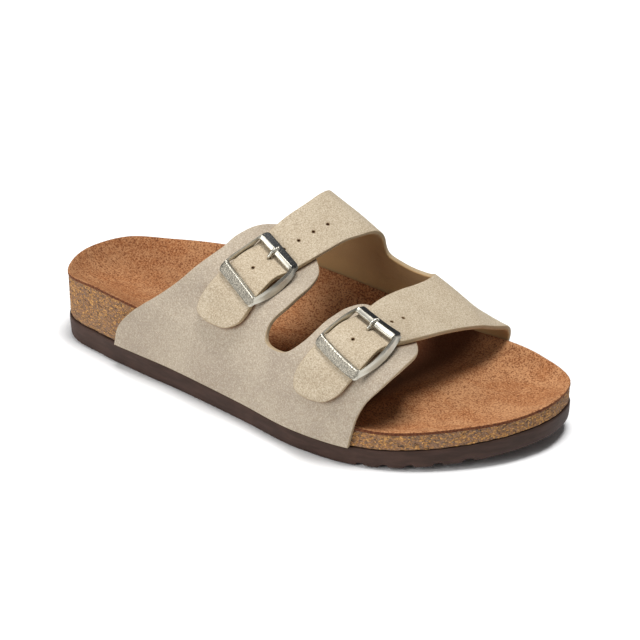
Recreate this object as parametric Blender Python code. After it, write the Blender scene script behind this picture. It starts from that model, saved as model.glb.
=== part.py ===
"""Two-strap cork sandal for the right foot, standing empty on its sole.

Lengths are millimetres until a mesh is made. While the shapes are worked out, x runs from the
heel to the toe, y to the medial side and z up from the floor. At the end the whole sandal is
moved so that the middle of its box stands on the origin.
"""
import math

import bmesh
import bpy
import numpy as np
from mathutils import Vector
from mathutils.geometry import delaunay_2d_cdt

OBJECT_NAME = "two_strap_cork_sandal"
MM = 0.001
GAP = 0.3
TINY = 1e-6

# Outline of the footbed seen from above, from the heel round the lateral side to the toe and
# back along the medial side, with the height of the footbed's rim at each row.
OUTLINE_COLUMNS = ("along", "across", "rim")
OUTLINE_ROWS = (
    (0.0, 0.0, 38.0),
    (9.0, -24.0, 37.0),
    (38.0, -33.5, 38.5),
    (90.0, -40.0, 34.0),
    (135.0, -47.5, 24.0),
    (172.0, -54.3, 22.5),
    (213.0, -50.0, 20.0),
    (243.0, -30.0, 22.5),
    (260.0, -9.0, 23.5),
    (267.5, 12.0, 25.0),
    (263.5, 34.0, 25.5),
    (240.5, 46.5, 27.5),
    (196.0, 49.5, 28.5),
    (150.0, 42.5, 39.5),
    (105.0, 36.5, 47.0),
    (60.0, 36.5, 43.0),
    (30.0, 35.0, 38.5),
    (9.0, 23.0, 39.0),
)
OUTLINE_FINE = 1600

# Outsole: its thickness along the foot, the lift at both ends and the tread grooves.
OUTSOLE_THICKNESS = ((0.0, 11.5), (60.0, 11.5), (180.0, 9.3), (270.0, 8.3))
TOE_SPRING_START = 185.0
TOE_SPRING_LENGTH = 85.0
TOE_SPRING = 7.1
HEEL_LIFT_LENGTH = 25.0
HEEL_LIFT = 1.6
SIDE_DRAFT = 1.2
STATION_STEP = 6.0
END_STEPS = (0.25, 0.9, 2.0, 3.6, 5.8, 8.6)
GROOVE_PITCH = 10.5
GROOVE_WIDTH = 4.4
GROOVE_FLOOR = 2.6
GROOVE_DEPTH = 2.2
GROOVE_SIDE_DEPTH = 1.3
GROOVE_MARGIN = 6.0
DRAFT_SHARE = 0.125
MARGIN_SHARE = 0.25
GROOVE_FIRST = 15.0
GROOVE_LAST = 256.0
OPEN_FROM = 188.0
HEEL_PAD = (40.0, 72.0)
BALL_PAD = (146.0, 180.0)

# Footbed: the lowest line of the dish and how sharply its sides rise to the rim.
DISH_COLUMNS = ("along", "floor", "power")
DISH_ROWS = (
    (0.0, 26.0, 2.6),
    (40.0, 25.0, 2.6),
    (90.0, 25.0, 2.7),
    (135.0, 20.5, 3.0),
    (172.0, 16.8, 4.0),
    (205.0, 17.2, 5.0),
    (235.0, 17.6, 5.5),
    (268.0, 19.5, 5.0),
)
HALF_WIDTH_END = 33.0
TOE_BAR_AT = 208.0
TOE_BAR_SLANT = 0.28
TOE_BAR_WIDTH = 11.0
TOE_BAR_HEIGHT = 2.2
FOOTBED_INSET = 0.5
INSOLE_THICKNESS = 1.8
DISH_EDGE_POINTS = 132
# Rings inside the rim: distance from the edge, and every how many edge points one is taken.
DISH_RINGS = ((2.5, 1), (6.0, 1), (11.0, 2), (18.0, 2))
DISH_GRID = 9.0

# The last: cross-sections that lean forward with the instep and follow the slant of the ball.
# Each section rises along the footbed's side, turns in at the rim, goes over a lateral shoulder
# and a medial shoulder, and comes down the other side.
SECTION_COLUMNS = ("station", "lean", "lateral_inset", "lateral_height", "lateral_radius",
                   "medial_inset", "medial_height", "medial_radius", "medial_rise")
SECTION_ROWS = (
    (40.0, 0.60, 6.5, 72.0, 19.0, 9.0, 122.0, 11.0, 6.5),
    (75.0, 0.55, 6.8, 67.5, 19.5, 10.0, 102.5, 11.5, 6.5),
    (107.0, 0.49, 7.0, 63.6, 20.0, 11.4, 86.3, 12.0, 6.5),
    (147.0, 0.38, 6.7, 59.0, 20.5, 12.8, 66.5, 14.0, 6.5),
    (187.0, 0.28, 6.4, 54.5, 21.0, 15.7, 47.6, 15.5, 6.4),
    (215.0, 0.22, 6.6, 50.0, 20.5, 24.0, 37.1, 15.0, 3.2),
    (235.0, 0.20, 6.6, 46.0, 20.0, 20.0, 37.6, 13.0, 3.2),
)
SLANT = 0.2
LATERAL_RIM_RISE = 3.0
LATERAL_RIM_RADIUS = 11.0
MEDIAL_RADIUS_PER_RISE = 1.7
SETTLE_ROUNDS = 8
ARC_STEPS = 24
LAST_STEP = 1.0
GIRTH_STEPS = 400

# Leather patterns: a station on the last and a girth from the lateral or the medial base.
LEATHER = 2.4
LATTICE = 5.0
LATTICE_MARGIN = 2.0
EDGE_STEP = 4.0
LATERAL_PATTERN = (
    (57.0, 0.0), (54.0, 11.0), (58.5, 23.5), (65.0, 31.5), (76.0, 51.5), (79.5, 64.0),
    (78.5, 74.5), (81.0, 82.5), (88.5, 88.0), (100.0, 89.5), (113.0, 87.0), (124.0, 82.0),
    (133.0, 76.0), (137.8, 68.0), (140.4, 60.0), (141.8, 52.0), (141.0, 42.0), (145.0, 35.0),
    (154.0, 33.4), (161.0, 35.0), (165.5, 41.0), (165.5, 56.0), (164.0, 67.0), (166.5, 76.0),
    (173.0, 78.5), (186.0, 78.5), (199.0, 71.5), (208.0, 62.5), (213.5, 53.0), (216.0, 41.0),
    (214.5, 31.0), (211.0, 22.0), (210.0, 10.0), (210.0, 0.0),
)
MEDIAL_REAR_EDGE = (
    (58.0, 0.0), (56.0, 11.0), (61.0, 26.0), (70.0, 45.0), (80.0, 64.0), (86.5, 80.0),
    (88.5, 98.0),
)
REAR_STRAP_END = (
    (89.5, 90.0), (92.0, 81.0), (95.0, 72.0), (95.2, 60.0), (94.0, 49.0), (93.6, 42.0),
    (96.5, 36.6), (103.0, 33.8), (112.0, 33.0), (120.0, 34.0), (125.3, 39.0), (125.6, 44.0),
    (124.0, 50.0), (123.7, 58.0), (123.8, 68.0), (123.6, 78.0), (123.2, 90.0), (123.0, 102.0),
)
MEDIAL_CUT = (
    (125.0, 74.0), (127.5, 61.0), (132.0, 50.5), (141.0, 46.7), (152.0, 45.0), (161.0, 46.5),
    (166.5, 54.0), (168.0, 65.0), (168.0, 77.0),
)
FRONT_STRAP_END = (
    (170.0, 81.0), (173.2, 71.5), (175.4, 62.0), (175.6, 48.0), (173.8, 36.0), (173.2, 28.0),
    (176.4, 22.4), (187.0, 19.8), (193.5, 20.6), (198.8, 25.5), (201.2, 34.0), (202.0, 48.0),
    (203.4, 58.0), (204.0, 69.0), (204.2, 85.0),
)
MEDIAL_FRONT_EDGE = (
    (204.6, 54.0), (205.5, 44.0), (206.3, 33.0), (206.8, 18.0), (206.5, 8.0), (205.0, 0.0),
)
STRAP_SPLIT = 147.0
PROBE = 3.0
REAR_RAMP = (93.0, 111.0)
FRONT_RAMP = (81.0, 126.0)
HOLE_RADIUS = 1.3
HOLE_SIDES = 8
REAR_HOLES = {"station": 107.7, "first": 60.2, "pitch": 8.05, "count": 6}
FRONT_HOLES = {"station": 187.8, "first": 47.8, "pitch": 7.4, "count": 5}

# Buckles: places on the last, and one frame whose lengths run along the strap and across it.
# A seat moves and skews the frame on its strap, rolls it to the toe and lifts its upper bar.
REAR_BUCKLE = {
    "station": 109.5, "girth": 62.6, "prong_hole": 1, "holes": REAR_HOLES,
    "seat": {"along": 0.0, "across": 0.1, "skew": -0.07, "roll": -0.015, "lift": 0.9},
}
FRONT_BUCKLE = {
    "station": 189.7, "girth": 49.3, "prong_hole": 1, "holes": FRONT_HOLES,
    "seat": {"along": -0.5, "across": -0.9, "skew": -0.05, "roll": 0.0, "lift": 1.5},
}
FRAME_OUTER = {"back": -12.5, "front": 12.5, "half": 13.4, "radius": 2.2}
FRAME_WINDOW = {"back": -8.3, "front": 7.3, "half": 12.2, "radius": 0.8}
FRAME_SIDE_STEPS = 6
FRAME_CORNER_STEPS = 3
BAR_UNDER = 5.5
BAR_OUTER = 6.6
BAR_RIDGE = 7.7
BAR_INNER = 6.6
RIDGE_SHARE = 0.62
SIDE_DROP_UNDER = 2.2
SIDE_DROP_TOP = 0.5
SIDE_REACH = 7.2
SIDE_EDGE = 0.9
SIDE_BLEND = 0.8
TOE_BOW_OUTER = 2.0
TOE_BOW_WINDOW = 1.2
LIFT_START = -6.0
LIFT_RUN = 14.0

# The prong lies over the upper bar, then bends into its hole. A bend row is a length past the
# hole, a height over the last, its share of the upper bar's lift and a radius.
PRONG_SIDES = 8
PRONG_RADIUS = 0.85
PRONG_OVER = 8.95
PRONG_ROOT = 12.0
PRONG_BEND = 8.0
PRONG_BEND_ROWS = (
    (0.9, 8.35, 1.0, 0.8), (0.15, 6.85, 0.6, 0.7), (0.0, 5.35, 0.0, 0.5), (0.0, 3.4, 0.0, 0.5),
)

SMOOTH_ANGLE = math.radians(38.0)
MATERIALS = {
    "outsole": ((0.055, 0.036, 0.030), 0.75, 0.0),
    "footbed": ((0.230, 0.150, 0.075), 0.90, 0.0),
    "insole": ((0.400, 0.190, 0.080), 0.95, 0.0),
    "upper_lateral": ((0.560, 0.480, 0.370), 0.95, 0.0),
    "upper_medial": ((0.600, 0.520, 0.400), 0.95, 0.0),
    "buckle_rear": ((0.640, 0.640, 0.630), 0.28, 1.0),
    "buckle_front": ((0.640, 0.640, 0.630), 0.28, 1.0),
    "prong_rear": ((0.700, 0.700, 0.690), 0.24, 1.0),
    "prong_front": ((0.700, 0.700, 0.690), 0.24, 1.0),
}


def smooth_through(knots, values, places):
    """Cubic curve through values at knots, one row of values per knot."""
    knots = np.asarray(knots, float)
    values = np.asarray(values, float)
    places = np.clip(np.asarray(places, float), knots[0], knots[-1])
    step = np.diff(knots)
    rise = np.diff(values, axis=0) / step[:, None]
    share = (step[1:] / (step[1:] + step[:-1]))[:, None]
    slope = np.vstack([rise[:1], rise[:-1] * share + rise[1:] * (1 - share), rise[-1:]])
    at = np.clip(np.searchsorted(knots, places, side="right") - 1, 0, len(step) - 1)
    span = step[at][:, None]
    t = (places - knots[at])[:, None] / span
    start, end = values[at], values[at + 1]
    leave, arrive = slope[at] * span, slope[at + 1] * span
    return ((2 * t**3 - 3 * t**2 + 1) * start + (t**3 - 2 * t**2 + t) * leave
            + (3 * t**2 - 2 * t**3) * end + (t**3 - t**2) * arrive)


def running_length(points):
    points = np.asarray(points, float)
    return np.concatenate([[0.0], np.cumsum(np.linalg.norm(np.diff(points, axis=0), axis=1))])


def smooth_step(share):
    share = np.clip(share, 0.0, 1.0)
    return share * share * (3 - 2 * share)


def table(columns, rows):
    return {name: np.array(values) for name, values in zip(columns, zip(*rows))}


def outline(count):
    """Points round the footbed's edge, heel first: along, across and rim height."""
    marks = table(OUTLINE_COLUMNS, OUTLINE_ROWS)
    rows = np.column_stack((marks["along"], marks["across"], marks["rim"]))
    wrap = 3
    rows = np.vstack([rows[-wrap:], rows, rows[:wrap + 1]])
    length = running_length(rows[:, :2])
    places = np.linspace(length[wrap], length[wrap + len(OUTLINE_ROWS)], count + 1)[:-1]
    return smooth_through(length, rows, places)


EDGE = outline(OUTLINE_FINE)
EDGE = np.roll(EDGE, -int(np.argmin(EDGE[:, 0])), axis=0)
TOE = int(np.argmax(EDGE[:, 0]))
LATERAL_EDGE = EDGE[:TOE + 1]
MEDIAL_EDGE = EDGE[TOE:][::-1]


def edge_across(along, edge):
    return np.interp(along, edge[:, 0], edge[:, 1])


def edge_rim(along, edge):
    return np.interp(along, edge[:, 0], edge[:, 2])


def sole_lift(along):
    along = np.asarray(along, float)
    toe = np.clip((along - TOE_SPRING_START) / TOE_SPRING_LENGTH, 0.0, None)
    heel = np.clip((HEEL_LIFT_LENGTH - along) / HEEL_LIFT_LENGTH, 0.0, None)
    return TOE_SPRING * toe**2 + HEEL_LIFT * heel**2


def sole_top(along):
    knots, thickness = zip(*OUTSOLE_THICKNESS)
    return np.interp(along, knots, thickness) + sole_lift(along)


def edge_distance(points):
    """Distance of flat points from the outline, and the rim height at the nearest place."""
    distance = np.empty(len(points))
    rim = np.empty(len(points))
    for index, point in enumerate(points):
        reach = np.hypot(EDGE[:, 0] - point[0], EDGE[:, 1] - point[1])
        nearest = int(np.argmin(reach))
        distance[index] = reach[nearest]
        rim[index] = EDGE[nearest, 2]
    return distance, rim


def dish_height(points):
    """Top of the insole over flat points."""
    along, across = points[:, 0], points[:, 1]
    distance, rim = edge_distance(points)
    dish = table(DISH_COLUMNS, DISH_ROWS)
    wanted = np.column_stack((dish["floor"], dish["power"]))
    floor, power = smooth_through(dish["along"], wanted, along).T
    inner = np.clip(along, HALF_WIDTH_END, EDGE[TOE, 0] - HALF_WIDTH_END)
    half = 0.5 * (edge_across(inner, MEDIAL_EDGE) - edge_across(inner, LATERAL_EDGE))
    share = np.clip(1.0 - distance / half, 0.0, 1.0)
    bar = (along - TOE_BAR_AT - TOE_BAR_SLANT * across) / TOE_BAR_WIDTH
    ridge = TOE_BAR_HEIGHT * np.exp(-bar**2) * (1 - share**3)
    return floor + (rim - floor) * share**power + ridge


def fillet_chain(corners, radii):
    """A chain of straight runs with a round of the given radius at each inner corner."""
    points = [np.array(corners[0], float)]
    for before, corner, after, radius in zip(corners, corners[1:], corners[2:], radii):
        corner = np.array(corner, float)
        back = np.array(before) - corner
        ahead = np.array(after) - corner
        back /= np.linalg.norm(back)
        ahead /= np.linalg.norm(ahead)
        half = math.acos(float(np.clip(back @ ahead, -1.0, 1.0))) / 2
        middle = (back + ahead) / np.linalg.norm(back + ahead)
        centre = corner + middle * radius / math.sin(half)
        start = corner + back * radius / math.tan(half) - centre
        end = corner + ahead * radius / math.tan(half) - centre
        first = math.atan2(start[1], start[0])
        turn = (math.atan2(end[1], end[0]) - first + math.pi) % (2 * math.pi) - math.pi
        for step in range(ARC_STEPS + 1):
            angle = first + turn * step / ARC_STEPS
            points.append(centre + radius * np.array((math.cos(angle), math.sin(angle))))
    points.append(np.array(corners[-1], float))
    return np.array(points)


def side_of_section(station, lean, edge, rise):
    """Base of a section on one side, and the corner where it leaves the footbed's rim."""
    across = edge_across(station, edge)
    for _ in range(SETTLE_ROUNDS):
        across = edge_across(station + SLANT * across, edge)
    base = (float(across), float(sole_top(station + SLANT * across)) + GAP)
    rim_across = across
    rim_height = edge_rim(station, edge) + rise
    for _ in range(SETTLE_ROUNDS):
        along = station + SLANT * rim_across + lean * (rim_height - base[1])
        rim_height = edge_rim(along, edge) + rise
        rim_across = edge_across(along, edge)
    return base, (float(rim_across), float(rim_height))


class Last:
    """The inner face of the leather over station and girth, with its outward normals."""

    def __init__(self):
        rows = np.array(SECTION_ROWS)
        self.stations = np.arange(rows[0, 0], rows[-1, 0] + LAST_STEP / 2, LAST_STEP)
        self.girths = np.empty(len(self.stations))
        sheets = []
        for index, station in enumerate(self.stations):
            row = smooth_through(rows[:, 0], rows[:, 1:], [station])[0]
            sheets.append(self.section(index, station, dict(zip(SECTION_COLUMNS[1:], row))))
        self.points = np.array(sheets)
        normals = np.cross(np.gradient(self.points, axis=0), np.gradient(self.points, axis=1))
        normals /= np.linalg.norm(normals, axis=2, keepdims=True)
        top = normals[len(self.stations) // 2, GIRTH_STEPS // 2, 2]
        self.normals = normals if top > 0 else -normals

    def section(self, index, station, row):
        base_lateral, rim_lateral = side_of_section(
            station, row["lean"], LATERAL_EDGE, LATERAL_RIM_RISE)
        base_medial, rim_medial = side_of_section(
            station, row["lean"], MEDIAL_EDGE, row["medial_rise"])
        shoulder_lateral = (rim_lateral[0] + row["lateral_inset"], row["lateral_height"])
        shoulder_medial = (rim_medial[0] - row["medial_inset"], row["medial_height"])
        chain = fillet_chain(
            (base_lateral, rim_lateral, shoulder_lateral, shoulder_medial, rim_medial,
             base_medial),
            (LATERAL_RIM_RADIUS, row["lateral_radius"], row["medial_radius"],
             MEDIAL_RADIUS_PER_RISE * row["medial_rise"]))
        length = running_length(chain)
        self.girths[index] = length[-1]
        girth = np.linspace(0.0, length[-1], GIRTH_STEPS + 1)
        across = np.interp(girth, length, chain[:, 0])
        height = np.interp(girth, length, chain[:, 1])
        floor = 0.5 * (base_lateral[1] + base_medial[1])
        along = station + SLANT * across + row["lean"] * (height - floor)
        return np.column_stack((along, across, height))

    def total(self, station):
        return np.interp(station, self.stations, self.girths)

    def at(self, places, offset):
        """Points at rows of station and girth, moved out by offset."""
        places = np.asarray(places, float)
        row = np.clip((places[:, 0] - self.stations[0]) / LAST_STEP, 0, len(self.stations) - 1 - TINY)
        share = np.clip(places[:, 1] / self.total(places[:, 0]), 0.0, 1.0)
        column = np.clip(share * GIRTH_STEPS, 0, GIRTH_STEPS - TINY)
        i, j = row.astype(int), column.astype(int)
        s, t = (row - i)[:, None], (column - j)[:, None]

        def blend(grid):
            near = grid[i, j] * (1 - t) + grid[i, j + 1] * t
            far = grid[i + 1, j] * (1 - t) + grid[i + 1, j + 1] * t
            return near * (1 - s) + far * s

        normal = blend(self.normals)
        normal /= np.linalg.norm(normal, axis=1, keepdims=True)
        return blend(self.points) + normal * np.reshape(offset, (-1, 1))


LAST = Last()


def resample(points, step):
    """Evenly spaced points on a smooth run through the given ones, both ends kept."""
    points = np.asarray(points, float)
    length = running_length(points)
    count = max(2, int(round(length[-1] / step)) + 1)
    return smooth_through(length, points, np.linspace(0.0, length[-1], count))


def from_medial(rows):
    return [(station, float(LAST.total(station)) - girth) for station, girth in rows]


def base_run(first, last, medial):
    """Points along a base edge between two stations, without its ends."""
    count = max(2, int(round(abs(last - first) / EDGE_STEP)))
    stations = np.linspace(first, last, count + 1)[1:-1]
    girth = LAST.total(stations) if medial else np.zeros(len(stations))
    return np.column_stack((stations, girth))


def lateral_outline():
    edge = resample(LATERAL_PATTERN, EDGE_STEP)
    return np.vstack([edge, base_run(edge[-1, 0], edge[0, 0], False)])


def medial_outline():
    rows = (from_medial(MEDIAL_REAR_EDGE) + list(REAR_STRAP_END) + from_medial(MEDIAL_CUT)
            + list(FRONT_STRAP_END) + from_medial(MEDIAL_FRONT_EDGE))
    edge = resample(rows, EDGE_STEP)
    return np.vstack([edge, base_run(edge[-1, 0], edge[0, 0], True)])


def hole_outline(station, girth):
    """A punched hole, round on the leather: its axes are scaled by the last's own stretch."""
    corners = LAST.at([(station - PROBE, girth), (station + PROBE, girth),
                       (station, girth - PROBE), (station, girth + PROBE)], LEATHER)
    width = HOLE_RADIUS * 2 * PROBE / np.linalg.norm(corners[1] - corners[0])
    height = HOLE_RADIUS * 2 * PROBE / np.linalg.norm(corners[3] - corners[2])
    turns = np.arange(HOLE_SIDES) * 2 * math.pi / HOLE_SIDES
    return np.column_stack((station + width * np.cos(turns), girth + height * np.sin(turns)))


def hole_girths(holes):
    return [holes["first"] + index * holes["pitch"] for index in range(holes["count"])]


def inside(points, loop):
    """Which flat points lie inside a closed loop."""
    result = np.zeros(len(points), bool)
    for start, end in zip(loop, np.roll(loop, -1, axis=0)):
        crosses = (start[1] > points[:, 1]) != (end[1] > points[:, 1])
        with np.errstate(divide="ignore", invalid="ignore"):
            at = start[0] + (points[:, 1] - start[1]) * (end[0] - start[0]) / (end[1] - start[1])
        result ^= crosses & (points[:, 0] < at)
    return result


def clearance(points, loop):
    """Distance of flat points from a closed loop."""
    nearest = np.full(len(points), np.inf)
    for start, end in zip(loop, np.roll(loop, -1, axis=0)):
        run = end - start
        share = np.clip((points - start) @ run / max(run @ run, TINY), 0.0, 1.0)
        reach = np.linalg.norm(points - start - share[:, None] * run, axis=1)
        nearest = np.minimum(nearest, reach)
    return nearest


def triangulate(loops, inner):
    """Triangles between an outer loop and its holes, using the inner points too."""
    points = []
    edges = []
    for loop in loops:
        first = len(points)
        points.extend(loop)
        edges.extend((first + k, first + (k + 1) % len(loop)) for k in range(len(loop)))
    points.extend(inner)
    flat = [Vector((float(p[0]), float(p[1]))) for p in points]
    result = delaunay_2d_cdt(flat, edges, [], 0, TINY)
    corners = np.array([(v.x, v.y) for v in result[0]])
    faces = np.array([face for face in result[2]])
    middle = corners[faces].mean(axis=1)
    keep = inside(middle, loops[0])
    for loop in loops[1:]:
        keep &= ~inside(middle, loop)
    return corners, faces[keep]


def lattice_points(loops, spacing, margin):
    low, high = loops[0].min(axis=0), loops[0].max(axis=0)
    columns = np.arange(low[0] + spacing / 2, high[0], spacing)
    rows = np.arange(low[1] + spacing / 2, high[1], spacing)
    grid = np.array([(c, r) for c in columns for r in rows])
    keep = inside(grid, loops[0]) & (clearance(grid, loops[0]) > margin)
    for loop in loops[1:]:
        keep &= ~inside(grid, loop) & (clearance(grid, loop) > margin)
    return grid[keep]


def rim_edges(faces):
    """Edges that belong to one triangle only, in that triangle's direction."""
    seen = {}
    for face in faces:
        for a, b in zip(face, np.roll(face, -1)):
            seen[(int(a), int(b))] = True
    return [edge for edge in seen if (edge[1], edge[0]) not in seen]


def sheet_solid(lower, upper, faces):
    """A closed solid between two matching sheets."""
    count = len(lower)
    polygons = [tuple(int(v) + count for v in face) for face in faces]
    polygons += [tuple(int(v) for v in reversed(face)) for face in faces]
    for a, b in rim_edges(faces):
        polygons.append((a, b, b + count))
        polygons.append((a, b + count, a + count))
    return np.vstack([lower, upper]), polygons


def strap_lift(places):
    """How far the medial leather stands off the last: it rides over the lateral tabs."""
    station, girth = places[:, 0], places[:, 1]
    rear = station < STRAP_SPLIT
    start = np.where(rear, REAR_RAMP[0], FRONT_RAMP[0])
    end = np.where(rear, REAR_RAMP[1], FRONT_RAMP[1])
    return (LEATHER + GAP) * (1 - smooth_step((girth - start) / (end - start)))


def leather(loops, lift):
    inner = lattice_points(loops, LATTICE, LATTICE_MARGIN)
    places, faces = triangulate(loops, inner)
    offset = lift(places)
    return sheet_solid(LAST.at(places, offset), LAST.at(places, offset + LEATHER), faces)


def upper_lateral():
    return leather([lateral_outline()], lambda places: np.zeros(len(places)))


def upper_medial():
    loops = [medial_outline()]
    for holes in (REAR_HOLES, FRONT_HOLES):
        loops += [hole_outline(holes["station"], girth) for girth in hole_girths(holes)]
    return leather(loops, strap_lift)


def dish_mesh():
    """Flat triangles for the footbed and insole, closer together along the rim."""
    edge = outline(DISH_EDGE_POINTS)[:, :2]
    ahead = np.roll(edge, -1, axis=0) - np.roll(edge, 1, axis=0)
    inward = np.column_stack((-ahead[:, 1], ahead[:, 0]))
    inward /= np.linalg.norm(inward, axis=1, keepdims=True)
    loop = edge + inward * FOOTBED_INSET
    rings = [edge[::skip] + inward[::skip] * reach for reach, skip in DISH_RINGS]
    middle = lattice_points([rings[-1]], DISH_GRID, DISH_GRID / 2)
    return triangulate([loop], np.vstack(rings + [middle]))


def lifted(places, height):
    return np.column_stack((places, height))


def footbed_and_insole():
    places, faces = dish_mesh()
    top = dish_height(places)
    below = lifted(places, sole_top(places[:, 0]) + GAP)
    cork = sheet_solid(below, lifted(places, top - INSOLE_THICKNESS - GAP), faces)
    sock = sheet_solid(lifted(places, top - INSOLE_THICKNESS), lifted(places, top), faces)
    return cork, sock


def groove_centres():
    count = int((GROOVE_LAST - GROOVE_FIRST) // GROOVE_PITCH) + 1
    centres = [GROOVE_FIRST + GROOVE_PITCH * index for index in range(count)]
    half = GROOVE_WIDTH / 2
    pads = (HEEL_PAD, BALL_PAD)
    return [c for c in centres if all(c + half < low or c - half > high for low, high in pads)]


def groove_depth(along, centres):
    away = min(abs(along - centre) for centre in centres)
    slope = (GROOVE_WIDTH / 2 - away) / (GROOVE_WIDTH / 2 - GROOVE_FLOOR / 2)
    return GROOVE_DEPTH * min(1.0, max(0.0, slope))


def outsole():
    """Cross-sections along the foot, each with a grooved bottom, two sides and a flat top."""
    heel, toe = EDGE[0, 0], EDGE[TOE, 0]
    centres = groove_centres()
    stations = {heel + step for step in END_STEPS} | {toe - step for step in END_STEPS}
    for centre in centres:
        stations |= {centre + s * w / 2 for s in (-1, 1) for w in (GROOVE_WIDTH, GROOVE_FLOOR)}
    plain = np.arange(heel + END_STEPS[-1], toe - END_STEPS[-1], STATION_STEP)
    close = STATION_STEP / 4
    stations |= {float(p) for p in plain if min(abs(p - s) for s in stations) > close}
    points = []
    for along in sorted(stations):
        lateral = edge_across(along, LATERAL_EDGE)
        medial = edge_across(along, MEDIAL_EDGE)
        width = medial - lateral
        draft = min(SIDE_DRAFT, width * DRAFT_SHARE)
        margin = min(GROOVE_MARGIN, width * MARGIN_SHARE)
        lift = float(sole_lift(along))
        depth = groove_depth(along, centres)
        side = depth * GROOVE_SIDE_DEPTH / GROOVE_DEPTH if along > OPEN_FROM else 0.0
        top = float(sole_top(along))
        points += [
            (along, lateral, top), (along, lateral + draft, lift + side),
            (along, lateral + margin, lift + depth), (along, medial - margin, lift + depth),
            (along, medial - draft, lift + side), (along, medial, top),
        ]
    ring = 6
    rows = len(points) // ring
    polygons = [tuple(range(ring)), tuple(reversed(range((rows - 1) * ring, rows * ring)))]
    for row in range(rows - 1):
        for k in range(ring):
            a, b = row * ring + k, row * ring + (k + 1) % ring
            polygons.append((a, a + ring, b + ring, b))
    return np.array(points), polygons


def rounded_frame(size):
    """Points round a rounded rectangle: along the strap and across it."""
    radius = size["radius"]
    corners = (
        (size["front"] - radius, size["half"] - radius, 0.0),
        (size["back"] + radius, size["half"] - radius, 0.5 * math.pi),
        (size["back"] + radius, radius - size["half"], math.pi),
        (size["front"] - radius, radius - size["half"], 1.5 * math.pi),
    )
    arcs = []
    for along, across, first in corners:
        turns = [first + 0.5 * math.pi * k / FRAME_CORNER_STEPS
                 for k in range(FRAME_CORNER_STEPS + 1)]
        arcs.append([(along + radius * math.cos(turn), across + radius * math.sin(turn))
                     for turn in turns])
    points = []
    for arc, following in zip(arcs, arcs[1:] + arcs[:1]):
        points += arc
        start, end = np.array(arc[-1]), np.array(following[0])
        for step in range(1, FRAME_SIDE_STEPS):
            points.append(tuple(start + (end - start) * step / FRAME_SIDE_STEPS))
    return np.array(points)


class StrapFrame:
    """Local lengths along and across a strap, turned into stations and girths on the last."""

    def __init__(self, place):
        self.station = place["station"]
        self.girth = place["girth"]
        corners = LAST.at([(self.station - PROBE, self.girth), (self.station + PROBE, self.girth),
                           (self.station, self.girth - PROBE), (self.station, self.girth + PROBE)],
                          2 * LEATHER)
        by_station = (corners[1] - corners[0]) / (2 * PROBE)
        by_girth = (corners[3] - corners[2]) / (2 * PROBE)
        self.skew = -float(by_station @ by_girth) / float(by_girth @ by_girth)
        square = by_station + self.skew * by_girth
        self.stretch = float(np.linalg.norm(square))

    def place(self, along, across):
        station = self.station + np.asarray(across, float) / self.stretch
        girth = self.girth + self.skew * (station - self.station) + np.asarray(along, float)
        return np.column_stack((station, girth))

    def along(self, station, girth):
        return girth - self.girth - self.skew * (station - self.station)

    def across(self, station):
        return (station - self.station) * self.stretch


def seated(loop, seat):
    """Lengths along and across of a frame's loop on its seat, and how far each point is lifted."""
    along = loop[:, 0] + seat["along"] + seat["skew"] * loop[:, 1]
    across = loop[:, 1] + seat["across"]
    lift = seat["roll"] * loop[:, 1] + seat["lift"] * smooth_step((loop[:, 0] - LIFT_START) / LIFT_RUN)
    return along, across, lift


def buckle(place):
    """A rigid frame: bars over the strap, and side bars that bow down beside it."""
    frame = StrapFrame(place)
    outer = rounded_frame(FRAME_OUTER)
    window = rounded_frame(FRAME_WINDOW)
    on_side = smooth_step((np.abs(window[:, 1]) - FRAME_WINDOW["half"] + SIDE_EDGE) / SIDE_BLEND)
    middle = 0.5 * (FRAME_WINDOW["back"] + FRAME_WINDOW["front"])
    bow = on_side * np.clip(1 - ((window[:, 0] - middle) / SIDE_REACH)**2, 0.0, 1.0)
    to_toe = bow * (window[:, 1] > 0)
    outer[:, 1] += TOE_BOW_OUTER * to_toe
    window[:, 1] += TOE_BOW_WINDOW * to_toe
    ridge = window + (outer - window) * (1 - RIDGE_SHARE)
    under = BAR_UNDER - SIDE_DROP_UNDER * bow
    loops = (
        (outer, under),
        (outer, BAR_OUTER - SIDE_DROP_TOP * bow),
        (ridge, BAR_RIDGE - SIDE_DROP_TOP * bow),
        (window, BAR_INNER - SIDE_DROP_TOP * bow),
        (window, under),
    )
    points = []
    for loop, offset in loops:
        along, across, lift = seated(loop, place["seat"])
        points.append(LAST.at(frame.place(along, across), offset + lift))
    count = len(outer)
    polygons = []
    for level in range(len(loops)):
        above = (level + 1) % len(loops)
        for k in range(count):
            after = (k + 1) % count
            polygons.append((level * count + k, level * count + after,
                             above * count + after, above * count + k))
    return np.vstack(points), polygons


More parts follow.
